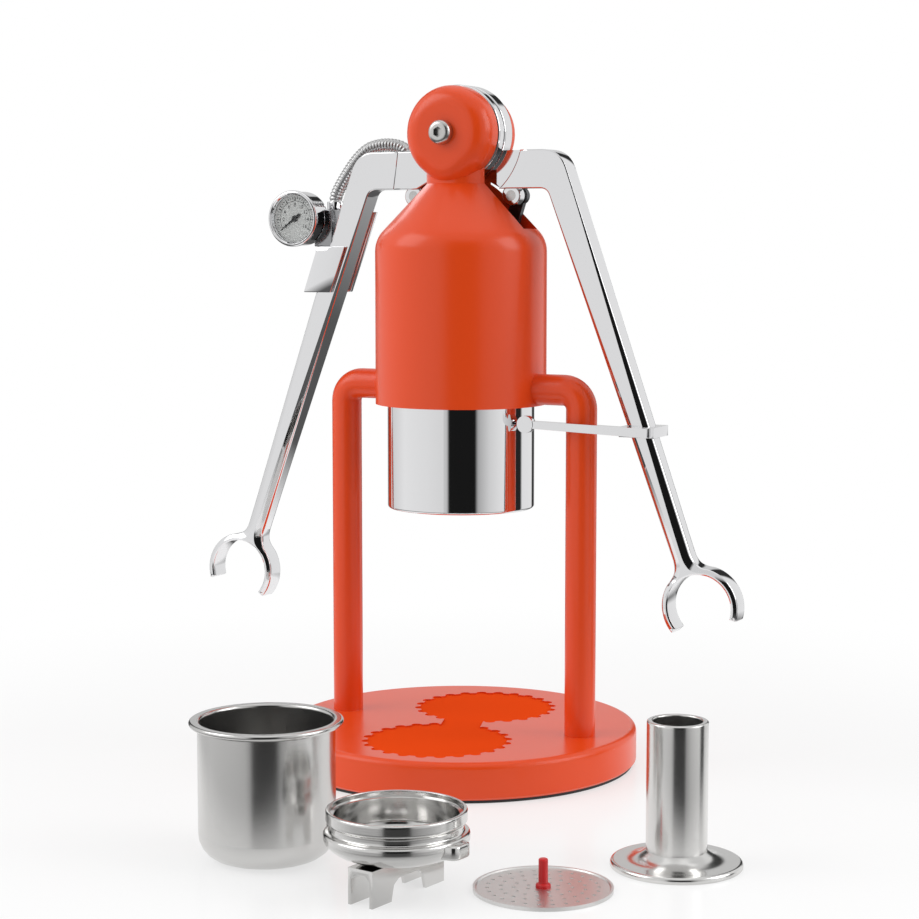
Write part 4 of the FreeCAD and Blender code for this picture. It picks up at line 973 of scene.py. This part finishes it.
class PRESS_OT_portafilter(bpy.types.Operator):
    """Shapes the portafilter's bowl, ears and twin spout"""
    bl_idname = "press.portafilter"
    bl_label = "Portafilter"

    def execute(self, context):
        low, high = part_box("portafilter_ring")
        foot, top = low[2], high[2]
        profile = [
            (9.0, 0), (20.5, 0.8), (25.5, 4.0), (27.59, 6.5), (27.59, 9.8), (25.2, 10.6), (25.2, 13.2),
            (26.6, 14.0), (26.6, 18.4), (25.1, 18.4), (25.1, 16.6), (23.6, 16.0), (23.6, 3.5),
            (9.0, 3.5),
        ]
        work = lathe([(x * MM, foot + z * MM) for x, z in profile], [
            (1, 3.5 * MM), (2, 2.2 * MM), (3, 1.0 * MM), (4, 0.9 * MM), (5, 0.6 * MM), (6, 0.6 * MM),
            (7, 0.6 * MM), (8, 0.8 * MM), (9, 0.3 * MM), (12, 4.0 * MM),
        ], 160)
        work = join(work, self.pierced(foot, foot + 3.5 * MM))
        for side in (-1, 1):
            ear = slab([
                (24.6 * MM * side, -6.5 * MM), (31.2 * MM * side, -4.9 * MM), (31.2 * MM * side, 4.9 * MM),
                (24.6 * MM * side, 6.5 * MM),
            ], [(1, 2.5 * MM), (2, 2.5 * MM)], foot + 4 * MM, foot + 9.5 * MM, 1.2 * MM, 4)
            swivel(ear, 90, "X")
            work = join(work, ear)
        swivel(work, -9, "Z")
        shift(work, round_of("spout_screw")[0])
        bmesh.ops.recalc_face_normals(work, faces=work.faces)
        keep("portafilter_bowl", work, "portafilter", "chrome", "portafilter_steel",
             replaced=["portafilter_ring"], clean=False, sharp=35)
        soften("twin_spout", "double_spout", "portafilter", "chrome", "portafilter_steel", 0.5 * MM)
        dress("spout_screw", "satin_steel")
        return {"FINISHED"}

    def pierced(self, low, high):
        """The middle of the bowl's floor, with the screw's hole and the two outlets."""
        work = bmesh.new()
        for across, radius, count in ((0, 9.0, 96), (0, 2.7, 32), (6.5, 2.4, 32), (-6.5, 2.4, 32)):
            made = bmesh.ops.create_circle(work, cap_ends=False, segments=count, radius=radius * MM)
            shift(work, (0, across * MM, low), made["verts"])
        bmesh.ops.triangle_fill(work, use_beauty=True, use_dissolve=False, edges=work.edges[:])
        grown = bmesh.ops.extrude_face_region(work, geom=work.faces[:])
        shift(work, (0, 0, high - low), points_of(grown))
        bmesh.ops.recalc_face_normals(work, faces=work.faces)
        return work


class PRESS_OT_screen(bpy.types.Operator):
    """Dresses the perforated screen and its red stem"""
    bl_idname = "press.screen"
    bl_label = "Dispersion screen"

    def execute(self, context):
        soften("perforated_screen", "dispersion_screen", "screen", "satin_steel", "screen_steel")
        (x, y, _), _, low, high = round_of("screen_stem")
        tall = high[2] - low[2]
        keep("red_stem", lathe([
            (0, 0), (2.9 * MM, 0), (2.9 * MM, 1.2 * MM), (1.8 * MM, 1.8 * MM), (1.8 * MM, tall), (0, tall),
        ], [(4, 0.7 * MM), (2, 0.3 * MM)], 48, at=(x, y, low[2]), closed=False), "screen", "red_silicone",
            replaced=["screen_stem"])
        return {"FINISHED"}


class PRESS_OT_tamper(bpy.types.Operator):
    """Turns the tamper's flange and tube"""
    bl_idname = "press.tamper"
    bl_label = "Tamper"

    def execute(self, context):
        at, rim, low, high = round_of("tamper_base")
        tube, bore = 12.0 * MM, 9.7 * MM
        foot = high[2]
        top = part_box("tamper_handle")[1][2]
        keep("tamper_flange", lathe([
            (0, 0), (rim, 0), (rim, 2.6 * MM), (tube + 5 * MM, 3.0 * MM), (tube, foot), (0, foot),
        ], [(1, 0.5 * MM), (2, 1.4 * MM), (3, 3.2 * MM)], 128, at=at, closed=False),
            "tamper", "satin_steel", "tamper_steel", replaced=["tamper_base"])
        keep("tamper_tube", lathe([
            (bore, foot), (tube, foot), (tube, top), (bore, top),
        ], [(2, 0.7 * MM), (3, 0.6 * MM)], 96, at=at), "tamper", "satin_steel", "tamper_steel",
            replaced=["tamper_handle"])
        return {"FINISHED"}


class PRESS_OT_works(bpy.types.Operator):
    """Finishes the fasteners, the piston and the links"""
    bl_idname = "press.works"
    bl_label = "Works"

    def execute(self, context):
        for finish, nodes in (
                # The links and their pins take the dark steel as painted shade, for the shadow they sit in
                # behind the arms' necks.
                ("dark_steel", ("leg_screws", "rod_nut", "yoke_pins", "left_link", "left_link_pin",
                                "right_link", "right_link_pin")),
                ("black_rubber", ("piston_seal",)),
                ("satin_steel", ("rod_guide", "head_axle", "left_arm_bush", "right_arm_bush",
                                 "left_lug_pin", "right_lug_pin", "sleeve_screws", "piston_rod",
                                 "piston_head", "piston_yoke"))):
            for node in nodes:
                dress(node, finish)
        return {"FINISHED"}


class PRESS_OT_stage(bpy.types.Operator):
    """Sets the pale floor, the soft studio light and the camera"""
    bl_idname = "press.stage"
    bl_label = "Stage"

    def execute(self, context):
        stage = context.scene.press_stage
        work = bmesh.new()
        bmesh.ops.create_circle(work, cap_ends=True, segments=96, radius=0.65)
        data = to_data(work, "studio_floor")
        floor = placed("studio_floor", data)
        data.materials.append(self.floor_material(stage.floor))
        self.world(context)
        for name, at, size, power in (
                ("key_softbox", (-1.15, -0.85, 1.2), 1.1, 8.0),
                ("side_softbox", (1.5, 0.4, 0.95), 1.1, 9.0),
                ("top_softbox", (0.0, 0.3, 1.8), 1.2, 1.5)):
            lamp = bpy.data.lights.new(name, "AREA")
            lamp.shape = "SQUARE"
            lamp.size = size
            lamp.energy = power
            thing = placed(name, lamp)
            thing.location = at
            aim = Vector((0.02, -0.03, 0.14)) - Vector(at)
            thing.rotation_euler = aim.to_track_quat("-Z", "Y").to_euler()
        lens = bpy.data.cameras.new("press_camera")
        lens.sensor_width = 36.0
        lens.lens = stage.lens
        lens.clip_start = 0.05
        camera = placed("press_camera", lens)
        a, p = stage.azimuth, stage.pitch
        camera.location = (stage.distance * math.sin(a), -stage.distance * math.cos(a), stage.height)
        camera.rotation_mode = "QUATERNION"
        w = a + stage.swing
        look = Vector((-math.sin(w) * math.cos(p), math.cos(w) * math.cos(p), -math.sin(p)))
        camera.rotation_quaternion = look.to_track_quat("-Z", "Y")
        context.scene.camera = camera
        context.scene.view_settings.view_transform = "Standard"
        return {"FINISHED"}

    def floor_material(self, colour):
        """Pale near the press and white further out, and clear to reflections there."""
        made, tree, shader = blank_material("studio_floor")
        feed(tree, shader, {"Base Color": (*colour, 1.0), "Roughness": 0.20, "Specular IOR Level": 0.25})
        far = distance_out(tree)
        fade = mapped(tree, far, {"From Min": 0.16, "From Max": 0.44, "To Min": 0.58},
                      interpolation_type="SMOOTHSTEP")
        bright = wired(tree, "Emission", {"Color": (1.0, 1.0, 1.0, 1.0)})
        both = wired(tree, "MixShader", {0: fade, 1: shader.outputs[0], 2: bright.outputs[0]})
        edge = mapped(tree, far, {"From Min": 0.20, "From Max": 0.30})
        way = wired(tree, "LightPath").outputs
        lost = reckoned(tree, "MULTIPLY", edge, way["Is Glossy Ray"])
        clear = wired(tree, "BsdfTransparent")
        seen = wired(tree, "MixShader", {0: lost, 1: both.outputs[0], 2: clear.outputs[0]})
        feed(tree, tree.nodes["Material Output"], {"Surface": seen.outputs[0]})
        return made

    def world(self, context):
        """A studio of upright light and dark bands for the metal, and plain white to the camera."""
        world = bpy.data.worlds.new("studio")
        context.scene.world = world
        world.use_nodes = True
        tree = world.node_tree
        tree.nodes.clear()
        spots = wired(tree, "TexCoord").outputs["Generated"]
        parts = wired(tree, "SeparateXYZ", {0: spots}).outputs
        turn = reckoned(tree, "ARCTAN2", parts["X"], parts["Y"])
        share = reckoned(tree, "MULTIPLY_ADD", turn, 1.0 / math.tau, 0.5)
        bands = wired(tree, "ValToRGB", {0: share})
        self.ramp(bands.color_ramp)
        rise = mapped(tree, parts["Z"], {"From Min": 0.60, "From Max": 0.72})
        overhead = wired(tree, "Mix", {
            "Factor": rise, "A": bands.outputs["Color"], "B": (0.72, 0.72, 0.72, 1.0),
        }, data_type="RGBA").outputs["Result"]
        fall = mapped(tree, parts["Z"], {"From Min": -0.20, "From Max": -0.36})
        beneath = wired(tree, "Mix", {
            "Factor": fall, "A": overhead, "B": (0.10, 0.10, 0.10, 1.0),
        }, data_type="RGBA").outputs["Result"]
        mirrored, lit, seen = (
            wired(tree, "Background", {"Color": colour, "Strength": strength}).outputs[0]
            for colour, strength in ((beneath, 1.0), (overhead, 1.2), ((1.0, 1.0, 1.0, 1.0), 1.0)))
        way = wired(tree, "LightPath").outputs
        cast = wired(tree, "MixShader", {0: way["Is Glossy Ray"], 1: lit, 2: mirrored})
        plain = reckoned(tree, "MAXIMUM", way["Is Camera Ray"], way["Is Transmission Ray"])
        whole = wired(tree, "MixShader", {0: plain, 1: cast.outputs[0], 2: seen})
        wired(tree, "OutputWorld", {"Surface": whole.outputs[0]})

    def ramp(self, ramp):
        first, *between, last = STUDIO_BANDS
        for element, (place, tone) in zip(ramp.elements, (first, last)):
            element.position = place
            element.color = (tone, tone, tone, 1.0)
        for place, tone in between:
            ramp.elements.new(place).color = (tone, tone, tone, 1.0)


# The studio's light round the press, clockwise from the front: share of the turn, tone

STUDIO_BANDS = (
    (0.000, 0.78), (0.075, 0.84), (0.120, 0.86), (0.200, 0.90), (0.280, 0.74), (0.325, 0.66),
    (0.335, 0.03), (0.372, 0.03), (0.384, 0.66), (0.462, 0.66), (0.472, 0.03), (0.510, 0.03),
    (0.522, 0.88), (0.616, 0.86), (0.628, 0.02), (0.676, 0.02), (0.686, 0.95), (0.750, 0.85),
    (0.800, 0.72), (0.850, 0.45), (0.864, 0.01), (0.976, 0.01), (0.986, 0.60), (1.000, 0.66),
)


class PRESS_PT_panel(bpy.types.Panel):
    """Lists the press's builders"""
    bl_label = "Espresso press"
    bl_idname = "PRESS_PT_panel"
    bl_space_type = "VIEW_3D"
    bl_region_type = "UI"
    bl_category = "Press"

    def draw(self, context):
        for group in ("press_paint", "press_metal", "press_arm", "press_hose", "press_stage"):
            settings = getattr(context.scene, group)
            box = self.layout.box()
            for key in settings.__annotations__:
                box.prop(settings, key)
        for step in STEPS:
            self.layout.operator(step.bl_idname)


STEPS = (
    PRESS_OT_finishes, PRESS_OT_stage, PRESS_OT_hose, PRESS_OT_stand, PRESS_OT_eye_bolts, PRESS_OT_arms,
    PRESS_OT_stay, PRESS_OT_gauge, PRESS_OT_basket, PRESS_OT_portafilter, PRESS_OT_screen,
    PRESS_OT_tamper, PRESS_OT_works,
)
GROUPS = (
    ("press_paint", PaintSettings), ("press_metal", MetalSettings), ("press_arm", ArmSettings),
    ("press_hose", HoseSettings), ("press_stage", StageSettings),
)


def register():
    for name, group in GROUPS:
        bpy.utils.register_class(group)
        setattr(bpy.types.Scene, name, bpy.props.PointerProperty(type=group))
    for step in STEPS:
        bpy.utils.register_class(step)
    bpy.utils.register_class(PRESS_PT_panel)


def unregister():
    bpy.utils.unregister_class(PRESS_PT_panel)
    for step in reversed(STEPS):
        bpy.utils.unregister_class(step)
    for name, group in reversed(GROUPS):
        delattr(bpy.types.Scene, name)
        bpy.utils.unregister_class(group)


def main():
    register()
    for step in STEPS:
        family, action = step.bl_idname.split(".")
        getattr(getattr(bpy.ops, family), action)()


if __name__ == "__main__":
    main()
